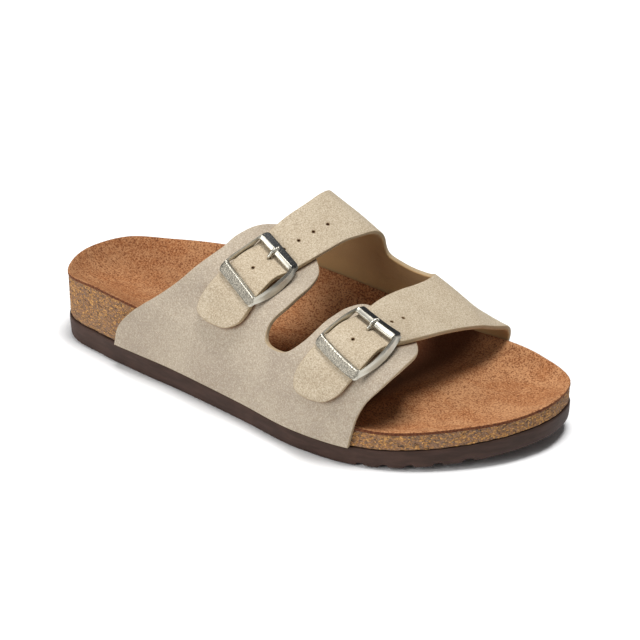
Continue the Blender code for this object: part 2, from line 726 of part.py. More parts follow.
def prong(place):
    """A pin that lies over the upper bar and bends down into a hole of the strap."""
    frame = StrapFrame(place)
    holes = place["holes"]
    hole = hole_girths(holes)[place["prong_hole"]]
    tip = frame.along(holes["station"], hole)
    across = frame.across(holes["station"])
    seat = place["seat"]
    path = [(along + seat["along"], PRONG_OVER + seat["lift"], PRONG_RADIUS)
            for along in (PRONG_ROOT, PRONG_BEND)]
    path += [(tip + past, height + share * seat["lift"], radius)
             for past, height, share, radius in PRONG_BEND_ROWS]
    centres = np.vstack([LAST.at(frame.place([along], [across]), [height])
                         for along, height, radius in path])
    side = LAST.at(frame.place([0.0, 0.0], [-1.0, 1.0]), [PRONG_OVER])
    side = (side[1] - side[0]) / np.linalg.norm(side[1] - side[0])
    points = []
    for index, (along, height, radius) in enumerate(path):
        ahead = centres[min(index + 1, len(path) - 1)] - centres[max(index - 1, 0)]
        up = np.cross(ahead, side)
        up /= np.linalg.norm(up)
        for k in range(PRONG_SIDES):
            turn = 2 * math.pi * k / PRONG_SIDES
            points.append(centres[index] + radius * (math.cos(turn) * side + math.sin(turn) * up))
    last = (len(path) - 1) * PRONG_SIDES
    polygons = [tuple(range(PRONG_SIDES)), tuple(range(last + PRONG_SIDES - 1, last - 1, -1))]
    for row in range(len(path) - 1):
        for k in range(PRONG_SIDES):
            a, b = row * PRONG_SIDES + k, row * PRONG_SIDES + (k + 1) % PRONG_SIDES
            polygons.append((a, a + PRONG_SIDES, b + PRONG_SIDES, b))
    return np.array(points), polygons


def make_material(name):
    colour, roughness, metallic = MATERIALS[name]
    material = bpy.data.materials.new(name)
    material.use_nodes = True
    shader = material.node_tree.nodes["Principled BSDF"]
    shader.inputs["Base Color"].default_value = (*colour, 1.0)
    shader.inputs["Roughness"].default_value = roughness
    shader.inputs["Metallic"].default_value = metallic
    material.diffuse_color = (*colour, 1.0)
    return material


def add_piece(name, points, polygons, collection):
    mesh = bpy.data.meshes.new(name)
    mesh.from_pydata((points * MM).tolist(), [], polygons)
    shape = bmesh.new()
    shape.from_mesh(mesh)
    bmesh.ops.recalc_face_normals(shape, faces=shape.faces)
    shape.to_mesh(mesh)
    shape.free()
    mesh.polygons.foreach_set("use_smooth", [True] * len(mesh.polygons))
    mesh.set_sharp_from_angle(angle=SMOOTH_ANGLE)
    mesh.materials.append(make_material(name))
    piece = bpy.data.objects.new(name, mesh)
    collection.objects.link(piece)
    return piece


def main():
    for old in list(bpy.data.objects):
        bpy.data.objects.remove(old)
    collection = bpy.data.collections.new(OBJECT_NAME)
    bpy.context.scene.collection.children.link(collection)

    cork, sock = footbed_and_insole()
    pieces = {
        "outsole": outsole(),
        "footbed": cork,
        "insole": sock,
        "upper_lateral": upper_lateral(),
        "upper_medial": upper_medial(),
        "buckle_rear": buckle(REAR_BUCKLE),
        "buckle_front": buckle(FRONT_BUCKLE),
        "prong_rear": prong(REAR_BUCKLE),
        "prong_front": prong(FRONT_BUCKLE),
    }
    everything = np.vstack([points for points, polygons in pieces.values()])
    low, high = everything.min(axis=0), everything.max(axis=0)
    origin = np.array((0.5 * (low[0] + high[0]), 0.5 * (low[1] + high[1]), low[2]))
    for name, (points, polygons) in pieces.items():
        add_piece(name, points - origin, polygons, collection)
    print("origin of the sandal, mm:", np.round(origin, 3), "size:", np.round(high - low, 2))


main()
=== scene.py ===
import math

import bmesh
import bpy
import numpy as np
from mathutils import Matrix, Vector, noise
from mathutils.geometry import delaunay_2d_cdt


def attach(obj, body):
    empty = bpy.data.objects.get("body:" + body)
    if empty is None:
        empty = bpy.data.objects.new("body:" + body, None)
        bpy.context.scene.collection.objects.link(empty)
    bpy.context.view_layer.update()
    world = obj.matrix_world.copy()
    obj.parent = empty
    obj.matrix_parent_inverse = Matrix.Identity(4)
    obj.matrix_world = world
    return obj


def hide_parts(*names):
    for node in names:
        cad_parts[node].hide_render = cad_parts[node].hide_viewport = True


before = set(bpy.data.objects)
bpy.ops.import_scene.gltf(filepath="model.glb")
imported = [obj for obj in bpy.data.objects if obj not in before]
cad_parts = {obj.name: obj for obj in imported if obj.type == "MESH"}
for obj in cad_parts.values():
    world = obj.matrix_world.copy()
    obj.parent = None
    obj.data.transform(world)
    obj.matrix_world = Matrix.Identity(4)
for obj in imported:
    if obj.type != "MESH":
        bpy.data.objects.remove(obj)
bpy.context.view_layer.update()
print("frame loaded:", ", ".join(sorted(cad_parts)))

mm = 0.001
gap = 0.3
tiny = 1e-6
stand = np.array((133.834, -3.039, 0.0))  # middle of the sandal, from the back of its heel


# Shader maths

class Wire:  # a shader socket that works in plain sums
    def __init__(self, tree, socket):
        self.tree = tree
        self.socket = socket

    def maths(self, operation, first, second):
        node = self.tree.nodes.new("ShaderNodeMath")
        node.operation = operation
        for slot, value in zip(node.inputs, (first, second)):
            if isinstance(value, Wire):
                self.tree.links.new(value.socket, slot)
            else:
                slot.default_value = value
        return Wire(self.tree, node.outputs[0])

    def __add__(self, other):
        return self.maths("ADD", self, other)

    def __radd__(self, other):
        return self.maths("ADD", other, self)

    def __sub__(self, other):
        return self.maths("SUBTRACT", self, other)

    def __rsub__(self, other):
        return self.maths("SUBTRACT", other, self)

    def __mul__(self, other):
        return self.maths("MULTIPLY", self, other)

    def __rmul__(self, other):
        return self.maths("MULTIPLY", other, self)


def tint(code):  # colour as printed, to the linear values of a shader
    values = [int(code[k:k + 2], 16) / 255 for k in (0, 2, 4)]
    linear = [v / 12.92 if v < 0.04045 else ((v + 0.055) / 1.055) ** 2.4 for v in values]
    return (*linear, 1.0)


class Finish:  # one material and the nodes behind it
    def __init__(self, name, fixed):
        self.material = bpy.data.materials.new(name)
        self.material.use_nodes = True
        self.tree = self.material.node_tree
        self.shader = self.tree.nodes["Principled BSDF"]
        for socket, value in fixed.items():
            self.shader.inputs[socket].default_value = value

    def add(self, kind, settings, sockets, out=0):
        node = self.tree.nodes.new(kind)
        for name, value in settings.items():
            if name == "stops":
                ramp = node.color_ramp
                while len(ramp.elements) < len(value):
                    ramp.elements.new(1.0)
                for element, (place, colour) in zip(ramp.elements, value):
                    element.position = place
                    element.color = colour
            else:
                setattr(node, name, value)
        for name, value in sockets.items():
            if isinstance(value, Wire):
                self.tree.links.new(value.socket, node.inputs[name])
            else:
                node.inputs[name].default_value = value
        return Wire(self.tree, node.outputs[out])

    def spot(self, stretch=(1.0, 1.0, 1.0)):
        place = self.add("ShaderNodeTexCoord", {}, {}, out="Object")
        return self.add("ShaderNodeMapping", {}, {"Vector": place, "Scale": stretch})

    def cloud(self, scale, detail=3.0, rough=0.55, stretch=(1.0, 1.0, 1.0), warp=0.0):
        return self.add("ShaderNodeTexNoise", {}, {
            "Vector": self.spot(stretch), "Scale": scale, "Detail": detail, "Roughness": rough,
            "Distortion": warp})

    def cells(self, scale, stretch=(1.0, 1.0, 1.0), out="Distance", feature="F1"):
        return self.add("ShaderNodeTexVoronoi", {"feature": feature}, {
            "Vector": self.spot(stretch), "Scale": scale}, out=out)

    def ramp(self, share, look, stops):
        colours = [(place, tint(look[name])) for place, name in stops]
        return self.add("ShaderNodeValToRGB", {"stops": colours}, {"Fac": share})

    def band(self, share, low, high):  # 0 under low, 1 over high
        return self.add("ShaderNodeMapRange", {"interpolation_type": "SMOOTHSTEP"}, {
            "Value": share, "From Min": low, "From Max": high})

    def mark(self, name):
        return self.add("ShaderNodeAttribute", {"attribute_name": name}, {}, out="Fac")

    def blend(self, share, first, second):
        return self.add("ShaderNodeMix", {"data_type": "RGBA"}, {0: share, 6: first, 7: second}, out=2)

    def paint(self, colour, share, code):  # a printed colour laid over another
        return self.blend(share, colour, tint(code))

    def feed(self, socket, wire):
        self.tree.links.new(wire.socket, self.shader.inputs[socket])

    def bump(self, layers):  # rows of height, depth in metres and strength
        normal = None
        for height, depth, strength in layers:
            sockets = {"Height": height, "Distance": depth, "Strength": strength}
            if normal is not None:
                sockets["Normal"] = normal
            normal = self.add("ShaderNodeBump", {}, sockets)
        self.feed("Normal", normal)


# Shapes shared by all pieces, in mm: x heel to toe, y to the big-toe side, z up

def smoothThrough(knots, values, places):
    knots = np.asarray(knots, float)
    values = np.asarray(values, float)
    places = np.clip(np.asarray(places, float), knots[0], knots[-1])
    step = np.diff(knots)
    rise = np.diff(values, axis=0) / step[:, None]
    share = (step[1:] / (step[1:] + step[:-1]))[:, None]
    slope = np.vstack([rise[:1], rise[:-1] * share + rise[1:] * (1 - share), rise[-1:]])
    at = np.clip(np.searchsorted(knots, places, side="right") - 1, 0, len(step) - 1)
    span = step[at][:, None]
    t = (places - knots[at])[:, None] / span
    start, end = values[at], values[at + 1]
    leave, arrive = slope[at] * span, slope[at + 1] * span
    return ((2 * t**3 - 3 * t**2 + 1) * start + (t**3 - 2 * t**2 + t) * leave
            + (3 * t**2 - 2 * t**3) * end + (t**3 - t**2) * arrive)


def runningLength(points):
    points = np.asarray(points, float)
    return np.concatenate([[0.0], np.cumsum(np.linalg.norm(np.diff(points, axis=0), axis=1))])


def smoothStep(share):
    share = np.clip(share, 0.0, 1.0)
    return share * share * (3 - 2 * share)


def rampUp(value, low, high):  # 0 up to low, 1 from high
    return smoothStep((value - low) / (high - low))


def lifted(flat, height):
    return np.column_stack((flat, height))


seeds = {"crumbs": 1.0, "corkFine": 2.0, "corkCoarse": 3.0, "ragged": 4.0, "waver": 5.0,
         "napCoarse": 6.0, "napFine": 7.0}


def ripple(points, size, seed):  # soft noise from -1 to 1 over rows of points in mm
    shift = Vector((seed * 7.3, seed * 3.1, seed * 5.7))
    return np.array([noise.noise(Vector(p) / size + shift) for p in np.asarray(points).tolist()])


plan = {
    # along, across, height of the rim, round the footbed from the heel's back by the outer side
    "rows": (
        (0.0, 0.0, 38.0), (9.0, -24.0, 37.0), (38.0, -33.5, 38.5), (90.0, -40.0, 34.0),
        (135.0, -47.5, 24.0), (172.0, -54.3, 22.5), (213.0, -50.0, 20.0), (243.0, -30.0, 22.5),
        (260.0, -9.0, 23.5), (267.5, 12.0, 25.0), (263.5, 34.0, 25.5), (240.5, 46.5, 27.5),
        (196.0, 49.5, 28.5), (150.0, 42.5, 39.5), (105.0, 36.5, 47.0), (60.0, 36.5, 43.0),
        (30.0, 35.0, 38.5), (9.0, 23.0, 39.0),
    ),
    "soleThickness": ((0.0, 11.5), (60.0, 11.5), (180.0, 9.3), (270.0, 8.3)),
    "toeSpringStart": 185.0, "toeSpringLength": 85.0, "toeSpring": 7.1,
    "heelLiftLength": 25.0, "heelLift": 1.6,
    # along, lowest line of the dish, how sharply its sides rise
    "dish": (
        (0.0, 26.0, 2.6), (40.0, 25.0, 2.6), (90.0, 25.0, 2.7), (135.0, 20.5, 3.0),
        (172.0, 16.8, 4.0), (205.0, 17.0, 6.0), (235.0, 17.2, 7.5), (268.0, 19.3, 7.0),
    ),
    "halfWidthEnd": 33.0, "rimPoints": 1600,
    "toeBarAt": 208.0, "toeBarSlant": 0.28, "toeBarWidth": 11.0, "toeBarHeight": 2.2,
}


def outlinePoints(count):
    rows = np.array(plan["rows"])
    wrap = 3
    rows = np.vstack([rows[-wrap:], rows, rows[:wrap + 1]])
    length = runningLength(rows[:, :2])
    places = np.linspace(length[wrap], length[wrap + len(plan["rows"])], count + 1)[:-1]
    return smoothThrough(length, rows, places)


rimLine = outlinePoints(plan["rimPoints"])
rimLine = np.roll(rimLine, -int(np.argmin(rimLine[:, 0])), axis=0)
toeAt = int(np.argmax(rimLine[:, 0]))
outerEdge = rimLine[:toeAt + 1]
innerEdge = rimLine[toeAt:][::-1]


def edgeAcross(along, edge):
    return np.interp(along, edge[:, 0], edge[:, 1])


def edgeRim(along, edge):
    return np.interp(along, edge[:, 0], edge[:, 2])


def soleLift(along):
    along = np.asarray(along, float)
    toe = np.clip((along - plan["toeSpringStart"]) / plan["toeSpringLength"], 0.0, None)
    heel = np.clip((plan["heelLiftLength"] - along) / plan["heelLiftLength"], 0.0, None)
    return plan["toeSpring"] * toe**2 + plan["heelLift"] * heel**2


def soleTop(along):
    knots, thickness = zip(*plan["soleThickness"])
    return np.interp(along, knots, thickness) + soleLift(along)


def rimDistance(points):  # distance from the outline, and the rim's height there
    distance = np.empty(len(points))
    rim = np.empty(len(points))
    for index, point in enumerate(points):
        reach = np.hypot(rimLine[:, 0] - point[0], rimLine[:, 1] - point[1])
        nearest = int(np.argmin(reach))
        distance[index] = reach[nearest]
        rim[index] = rimLine[nearest, 2]
    return distance, rim


def dishHeight(points):
    along, across = points[:, 0], points[:, 1]
    distance, rim = rimDistance(points)
    rows = np.array(plan["dish"])
    floor, power = smoothThrough(rows[:, 0], rows[:, 1:], along).T
    inner = np.clip(along, plan["halfWidthEnd"], rimLine[toeAt, 0] - plan["halfWidthEnd"])
    half = 0.5 * (edgeAcross(inner, innerEdge) - edgeAcross(inner, outerEdge))
    share = np.clip(1.0 - distance / half, 0.0, 1.0)
    bar = (along - plan["toeBarAt"] - plan["toeBarSlant"] * across) / plan["toeBarWidth"]
    ridge = plan["toeBarHeight"] * np.exp(-bar**2) * (1 - share**3)
    return floor + (rim - floor) * share**power + ridge


# Meshes

def insideLoop(points, loop):
    result = np.zeros(len(points), bool)
    for start, end in zip(loop, np.roll(loop, -1, axis=0)):
        crosses = (start[1] > points[:, 1]) != (end[1] > points[:, 1])
        if not crosses.any():
            continue
        at = start[0] + (points[:, 1] - start[1]) * (end[0] - start[0]) / (end[1] - start[1])
        result ^= crosses & (points[:, 0] < at)
    return result


def loopClearance(points, loop):
    nearest = np.full(len(points), np.inf)
    for start, end in zip(loop, np.roll(loop, -1, axis=0)):
        run = end - start
        share = np.clip((points - start) @ run / max(run @ run, tiny), 0.0, 1.0)
        reach = np.linalg.norm(points - start - share[:, None] * run, axis=1)
        nearest = np.minimum(nearest, reach)
    return nearest


gridLook = {"rowShare": 0.87, "clearShare": 0.55}  # of the spacing: between rows, and from a loop


def fillLoops(loops, spacing):  # flat triangles between an outer loop and its holes
    low, high = loops[0].min(axis=0), loops[0].max(axis=0)
    rows = np.arange(low[1] + spacing / 2, high[1], spacing * gridLook["rowShare"])
    columns = np.arange(low[0] + spacing / 2, high[0], spacing)
    grid = np.array([(c + (k % 2) * spacing / 2, r) for k, r in enumerate(rows) for c in columns])
    grid = grid[insideLoop(grid, loops[0])]
    for index, loop in enumerate(loops):
        low, high = loop.min(axis=0) - spacing, loop.max(axis=0) + spacing
        near = np.all((grid > low) & (grid < high), axis=1)
        keep = np.ones(len(grid), bool)
        clear = loopClearance(grid[near], loop) > spacing * gridLook["clearShare"]
        keep[near] = clear if index == 0 else clear & ~insideLoop(grid[near], loop)
        grid = grid[keep]
    points, edges = [], []
    for loop in loops:
        first = len(points)
        points.extend(loop)
        edges.extend((first + k, first + (k + 1) % len(loop)) for k in range(len(loop)))
    bordered = len(points)
    points.extend(grid)
    flat = [Vector((float(p[0]), float(p[1]))) for p in points]
    result = delaunay_2d_cdt(flat, edges, [], 0, tiny)
    corners = np.array([points[origin[0]] if origin else tuple(corner)
                        for corner, origin in zip(result[0], result[3])])
    faces = np.array([face for face in result[2]])
    middle = corners[faces].mean(axis=1)
    keep = insideLoop(middle, loops[0])
    for loop in loops[1:]:
        keep &= ~insideLoop(middle, loop)
    border = {origin[0]: k for k, origin in enumerate(result[3]) if origin and origin[0] < bordered}
    return corners, faces[keep], [border[k] for k in range(bordered)]


class Shell:  # points, faces and point marks of a piece while it is put together
    def __init__(self):
        self.points = []
        self.faces = []
        self.marks = {}
        self.count = 0

    def put(self, points, **marks):
        first = self.count
        self.points.append(np.asarray(points, float))
        self.count += len(points)
        for name in sorted(set(self.marks) | set(marks)):
            known = self.marks.setdefault(name, np.zeros(first))
            value = np.broadcast_to(np.asarray(marks.get(name, 0.0), float), len(points))
            self.marks[name] = np.concatenate([known, value])
        return list(range(first, self.count))

    def band(self, lower, upper):
        for k in range(len(lower)):
            after = (k + 1) % len(lower)
            self.faces.append((lower[k], lower[after], upper[after], upper[k]))

    def stack(self, rings):
        for lower, upper in zip(rings, rings[1:]):
            self.band(lower, upper)

    def fan(self, faces, names):
        self.faces.extend(tuple(names[v] for v in face) for face in faces)

    def cap(self, ring, filled, height, **marks):  # a filled loop whose border is the ring
        corners, faces, border = filled
        names = self.put(lifted(corners, height), **marks)
        for k, corner in enumerate(border):
            names[corner] = ring[k]
        self.fan(faces, names)


def trimmed(shell):  # drop points that no face uses
    points = np.vstack(shell.points)
    used = sorted({v for face in shell.faces for v in face})
    place = {v: k for k, v in enumerate(used)}
    result = Shell()
    result.put(points[used], **{name: values[used] for name, values in shell.marks.items()})
    result.faces = [tuple(place[v] for v in face) for face in shell.faces]
    return result


def makePiece(name, shell, finish, node, sharp=50.0):
    points = (np.vstack(shell.points) - stand) * mm
    mesh = bpy.data.meshes.new(name)
    mesh.from_pydata(points.tolist(), [], shell.faces)
    for key, values in shell.marks.items():
        layer = mesh.attributes.new(key, "FLOAT", "POINT")
        layer.data.foreach_set("value", values.astype(np.float32))
    tidy = bmesh.new()
    tidy.from_mesh(mesh)
    bmesh.ops.recalc_face_normals(tidy, faces=tidy.faces)
    tidy.to_mesh(mesh)
    tidy.free()
    mesh.polygons.foreach_set("use_smooth", [True] * len(mesh.polygons))
    mesh.set_sharp_from_angle(angle=math.radians(sharp))
    mesh.materials.append(finish.material)
    piece = bpy.data.objects.new(name, mesh)
    bpy.context.scene.collection.objects.link(piece)
    settle(piece, node)
    print("made", name, len(mesh.polygons), "faces")


def settle(piece, node=None):
    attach(piece, "root")
    if node:
        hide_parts(node)


def rimRing(count):  # outline points with their inward directions
    edge = outlinePoints(count)
    ahead = np.roll(edge[:, :2], -1, axis=0) - np.roll(edge[:, :2], 1, axis=0)
    inward = np.column_stack((-ahead[:, 1], ahead[:, 0]))
    return edge, inward / np.linalg.norm(inward, axis=1, keepdims=True)


# Outsole: dark moulded sole with cross grooves

soleLook = {
    "points": 760, "treadCell": 2.2, "hiddenCell": 9.0,
    "groovePitch": 10.5, "grooveWidth": 4.4, "grooveFloor": 2.6, "grooveDepth": 2.2,
    "grooveFirst": 15.0, "grooveLast": 256.0, "grooveEnds": (2.5, 6.0),
    # beside the leather the wall flares out: how far, from where to where, full at which share down
    "flare": 1.2, "flareFrom": (50.0, 80.0), "flareTo": (190.0, 215.0), "flareTop": 0.4,
    # grooves that open in the wall at the toe, and pads that have none
    "sideDepth": 1.3, "sideOpen": (198.0, 202.0), "heelPad": (40.0, 72.0), "ballPad": (146.0, 180.0),
    "colour": "422f28", "dark": "36261f", "dusty": "4e3a32",
}
# share of the height from the top down, and how far the wall stands in
soleWall = ((0.0, 3.0), (0.0, 0.45), (0.015, 0.2), (0.05, 0.04), (0.12, 0.0), (0.3, 0.05),
            (0.5, 0.12), (0.7, 0.22), (0.84, 0.35), (0.92, 0.52), (0.97, 0.8), (0.995, 1.25),
            (1.0, 1.8))


def grooveCentres():
    count = int((soleLook["grooveLast"] - soleLook["grooveFirst"]) // soleLook["groovePitch"]) + 1
    centres = [soleLook["grooveFirst"] + soleLook["groovePitch"] * k for k in range(count)]
    half = soleLook["grooveWidth"] / 2
    pads = (soleLook["heelPad"], soleLook["ballPad"])
    return np.array([c for c in centres if all(c + half < a or c - half > b for a, b in pads)])


def grooveDepth(along):
    away = np.abs(np.asarray(along)[:, None] - grooveCentres()[None, :]).min(axis=1)
    wide, narrow = soleLook["grooveWidth"] / 2, soleLook["grooveFloor"] / 2
    return soleLook["grooveDepth"] * smoothStep((wide - away) / (wide - narrow))


def makeSole(finish):
    edge, inward = rimRing(soleLook["points"])
    along = edge[:, 0]
    sideShare = soleLook["sideDepth"] / soleLook["grooveDepth"]
    notch = grooveDepth(along) * sideShare * rampUp(along, *soleLook["sideOpen"])
    beside = rampUp(along, *soleLook["flareFrom"]) * (1 - rampUp(along, *soleLook["flareTo"]))
    shell = Shell()
    rings, loops = [], []
    for share, reach in soleWall:
        flare = soleLook["flare"] * beside * rampUp(share, 0.0, soleLook["flareTop"])
        flat = edge[:, :2] + inward * (reach - flare)[:, None]
        top = soleTop(flat[:, 0])
        low = soleLift(flat[:, 0]) + notch
        rings.append(shell.put(lifted(flat, top + (low - top) * share)))
        loops.append(flat)
    shell.stack(rings)
    hidden = fillLoops([loops[0]], soleLook["hiddenCell"])
    shell.cap(rings[0], hidden, soleTop(hidden[0][:, 0]))
    tread = fillLoops([loops[-1]], soleLook["treadCell"])
    inset = rimDistance(tread[0])[0]
    depth = grooveDepth(tread[0][:, 0]) * rampUp(inset, *soleLook["grooveEnds"])
    shell.cap(rings[-1], tread, soleLift(tread[0][:, 0]) + depth)
    makePiece("outsole_moulding", trimmed(shell), finish, "outsole")


def soleFinish():
    finish = Finish("dark foam rubber", {"Roughness": 0.62, "Specular IOR Level": 0.2})
    streak = finish.cloud(420.0, detail=3.0, rough=0.6, stretch=(0.2, 0.2, 1.0))
    patch = finish.cloud(40.0, detail=4.0, rough=0.6)
    pores = finish.cloud(1800.0, detail=2.0, rough=0.6)
    colour = finish.paint(tint(soleLook["dark"]), finish.band(streak, 0.35, 0.7), soleLook["colour"])
    colour = finish.paint(colour, finish.band(patch, 0.5, 0.8) * 0.55, soleLook["dusty"])
    finish.feed("Base Color", colour)
    finish.feed("Roughness", 0.52 + 0.2 * patch)
    finish.bump(((streak, 0.00025, 0.35), (pores, 0.00012, 0.35)))
    return finish


# Cork footbed

corkLook = {
    "points": 900, "inset": 0.5, "set": 0.12, "rows": 26, "core": 4.0, "coreCell": 10.0, "shoulder": 2.2,
    "rough": 0.16, "roughSizes": (1.5, 4.0), "coarseShare": 0.8, "roughLimits": (-0.25, 0.3),
    "crumble": 0.5, "crumbSize": 3.2, "crumbShare": 0.12,
    # how far the wall's foot and brow stand in, over which share of its height
    "foot": 0.35, "brow": 0.3, "roundShare": 0.05,
    "base": "8f6b54", "grey": "7f6a5a", "ochre": "b4834b", "gold": "d3a062", "dark": "463020",
}


def makeCork(finish):
    edge, inward = rimRing(corkLook["points"])
    base = edge[:, :2] + inward * corkLook["inset"]
    core = edge[:, :2] + inward * corkLook["core"]
    under = sockLook["thickness"] + gap
    bottom = soleTop(base[:, 0]) + gap
    top = edge[:, 2] - under
    crumbs = ripple(lifted(base, bottom), corkLook["crumbSize"], seeds["crumbs"])
    crumbs = corkLook["crumble"] * np.clip(crumbs, 0.0, 1.0)
    fineSize, coarseSize = corkLook["roughSizes"]
    rounded = corkLook["roundShare"]
    shell = Shell()
    rings = [shell.put(lifted(core, bottom))]
    side = []
    for k in range(corkLook["rows"] + 1):
        share = k / corkLook["rows"]
        corner = corkLook["foot"] * (1 - rampUp(share, 0.0, rounded))
        corner += corkLook["brow"] * rampUp(share, 1 - rounded, 1.0)
        height = bottom + (top - bottom) * share + crumbs * (1 - rampUp(share, 0.0, corkLook["crumbShare"]))
        spot = lifted(base, height)
        coarse = corkLook["coarseShare"] * ripple(spot, coarseSize, seeds["corkCoarse"])
        rough = corkLook["rough"] * (ripple(spot, fineSize, seeds["corkFine"]) + coarse)
        inset = corner + np.clip(rough, *corkLook["roughLimits"]) + corkLook["set"]
        side.append(lifted(base + inward * inset[:, None], height))
        rings.append(shell.put(side[-1]))
    for reach in (corkLook["shoulder"], corkLook["core"]):
        flat = edge[:, :2] + inward * reach
        rings.append(shell.put(lifted(flat, dishHeight(flat) - under)))
    shell.stack(rings)
    filled = fillLoops([core], corkLook["coreCell"])
    shell.cap(rings[0], filled, soleTop(filled[0][:, 0]) + gap)
    shell.cap(rings[-1], filled, dishHeight(filled[0]) - under)
    makePiece("cork_footbed", trimmed(shell), finish, "footbed", sharp=70.0)
    return side


def corkFinish():
    finish = Finish("pressed cork", {"Roughness": 0.9, "Specular IOR Level": 0.25})
    flat = (1.0, 1.0, 1.7)
    grain, small = 760.0, 1500.0
    tone = finish.add("ShaderNodeSeparateColor", {}, {"Color": finish.cells(grain, flat, out="Color")})
    other = finish.add("ShaderNodeSeparateColor", {}, {"Color": finish.cells(small, flat, out="Color")})
    joints = finish.cells(grain, flat, feature="DISTANCE_TO_EDGE")
    patch = finish.cloud(45.0, detail=3.0, rough=0.6)
    colour = finish.ramp(tone, corkLook, (
        (0.0, "dark"), (0.16, "grey"), (0.5, "base"), (0.74, "ochre"), (0.97, "gold")))
    fine = finish.ramp(other, corkLook, ((0.0, "dark"), (0.25, "base"), (0.8, "ochre"), (1.0, "gold")))
    colour = finish.blend(0.38, colour, fine)
    colour = finish.paint(colour, finish.band(patch, 0.42, 0.7) * 0.45, corkLook["grey"])
    colour = finish.paint(colour, (1.0 - finish.band(joints, 0.0, 0.16)) * 0.55, corkLook["dark"])
    finish.feed("Base Color", colour)
    finish.bump(((joints, 0.0004, 0.5), (finish.cloud(small, detail=3.0, rough=0.7), 0.0003, 0.5)))
    return finish


granuleLook = {"density": 0.34, "long": (0.3, 0.85), "high": (0.22, 0.5), "proud": (0.09, 0.15),
               "bareRows": 2, "seed": 7, "toneSeed": 3}


def linkNode(tree, kind, settings, sockets):
    node = tree.nodes.new(kind)
    for name, value in settings.items():
        setattr(node, name, value)
    for name, value in sockets.items():
        if isinstance(value, bpy.types.NodeSocket):
            tree.links.new(value, node.inputs[name])
        else:
            node.inputs[name].default_value = value
    return node


def newTree(name, inputs):
    tree = bpy.data.node_groups.new(name, "GeometryNodeTree")
    tree.interface.new_socket("Geometry", in_out="INPUT", socket_type="NodeSocketGeometry")
    for label, kind in inputs:
        tree.interface.new_socket(label, in_out="INPUT", socket_type=kind)
    tree.interface.new_socket("Geometry", in_out="OUTPUT", socket_type="NodeSocketGeometry")
    start = tree.nodes.new("NodeGroupInput")
    return tree, start


def closeTree(tree, geometry, material):
    real = linkNode(tree, "GeometryNodeRealizeInstances", {}, {"Geometry": geometry})
    painted = linkNode(tree, "GeometryNodeSetMaterial", {}, {
        "Geometry": real.outputs[0], "Material": material})
    end = tree.nodes.new("NodeGroupOutput")
    tree.links.new(painted.outputs[0], end.inputs[0])


def runTree(name, mesh, tree, values):  # a plain mesh object made by the tree
    carrier = bpy.data.objects.new(name + "_carrier", mesh)
    bpy.context.scene.collection.objects.link(carrier)
    modifier = carrier.modifiers.new("nodes", "NODES")
    modifier.node_group = tree
    known = {item.name: item.identifier for item in tree.interface.items_tree if item.in_out == "INPUT"}
    for label, value in values.items():
        modifier[known[label]] = value
    graph = bpy.context.evaluated_depsgraph_get()
    made = bpy.data.meshes.new_from_object(carrier.evaluated_get(graph), depsgraph=graph)
    carrier.modifiers.remove(modifier)
    bpy.data.objects.remove(carrier)
    made.name = name
    made.polygons.foreach_set("use_smooth", [True] * len(made.polygons))
    piece = bpy.data.objects.new(name, made)
    bpy.context.scene.collection.objects.link(piece)
    print("made", name, len(made.polygons), "faces")
    return piece


def makeGranules(side, finish):
    rows = side[granuleLook["bareRows"]:-granuleLook["bareRows"]]
    total = len(rows[0])
    wall = Shell()
    wall.stack([list(range(r * total, (r + 1) * total)) for r in range(len(rows))])
    mesh = bpy.data.meshes.new("cork side")
    mesh.from_pydata(((np.vstack(rows) - stand) * mm).tolist(), [], wall.faces)
    tree, start = newTree("cork granules", (
        ("Density", "NodeSocketFloat"), ("Seed", "NodeSocketInt"), ("Smallest", "NodeSocketVector"),
        ("Largest", "NodeSocketVector")))
    spread = linkNode(tree, "GeometryNodeDistributePointsOnFaces", {}, {
        "Mesh": start.outputs["Geometry"], "Density": start.outputs["Density"],
        "Seed": start.outputs["Seed"]})
    chip = linkNode(tree, "GeometryNodeMeshIcoSphere", {}, {"Radius": mm, "Subdivisions": 1})
    level = linkNode(tree, "ShaderNodeVectorMath", {"operation": "CROSS_PRODUCT"}, {
        0: (0.0, 0.0, 1.0), 1: spread.outputs["Normal"]})
    turn = linkNode(tree, "FunctionNodeAlignRotationToVector", {"axis": "X", "pivot_axis": "Z"}, {
        "Rotation": spread.outputs["Rotation"], "Vector": level.outputs[0]})
    size = linkNode(tree, "FunctionNodeRandomValue", {"data_type": "FLOAT_VECTOR"}, {
        "Min": start.outputs["Smallest"], "Max": start.outputs["Largest"], "Seed": start.outputs["Seed"]})
    laid = linkNode(tree, "GeometryNodeInstanceOnPoints", {}, {
        "Points": spread.outputs["Points"], "Instance": chip.outputs["Mesh"],
        "Rotation": turn.outputs["Rotation"], "Scale": size.outputs["Value"]})
    shade = linkNode(tree, "FunctionNodeRandomValue", {"data_type": "FLOAT"}, {
        "Seed": granuleLook["toneSeed"]})
    toned = linkNode(tree, "GeometryNodeStoreNamedAttribute", {"data_type": "FLOAT", "domain": "INSTANCE"}, {
        "Geometry": laid.outputs[0], "Name": "tone", "Value": shade.outputs[1]})
    closeTree(tree, toned.outputs[0], finish.material)
    smallest, largest = zip(granuleLook["long"], granuleLook["high"], granuleLook["proud"])
    piece = runTree("cork_granules", mesh, tree, {
        "Density": granuleLook["density"] / mm**2, "Seed": granuleLook["seed"],
        "Smallest": smallest, "Largest": largest})
    settle(piece)


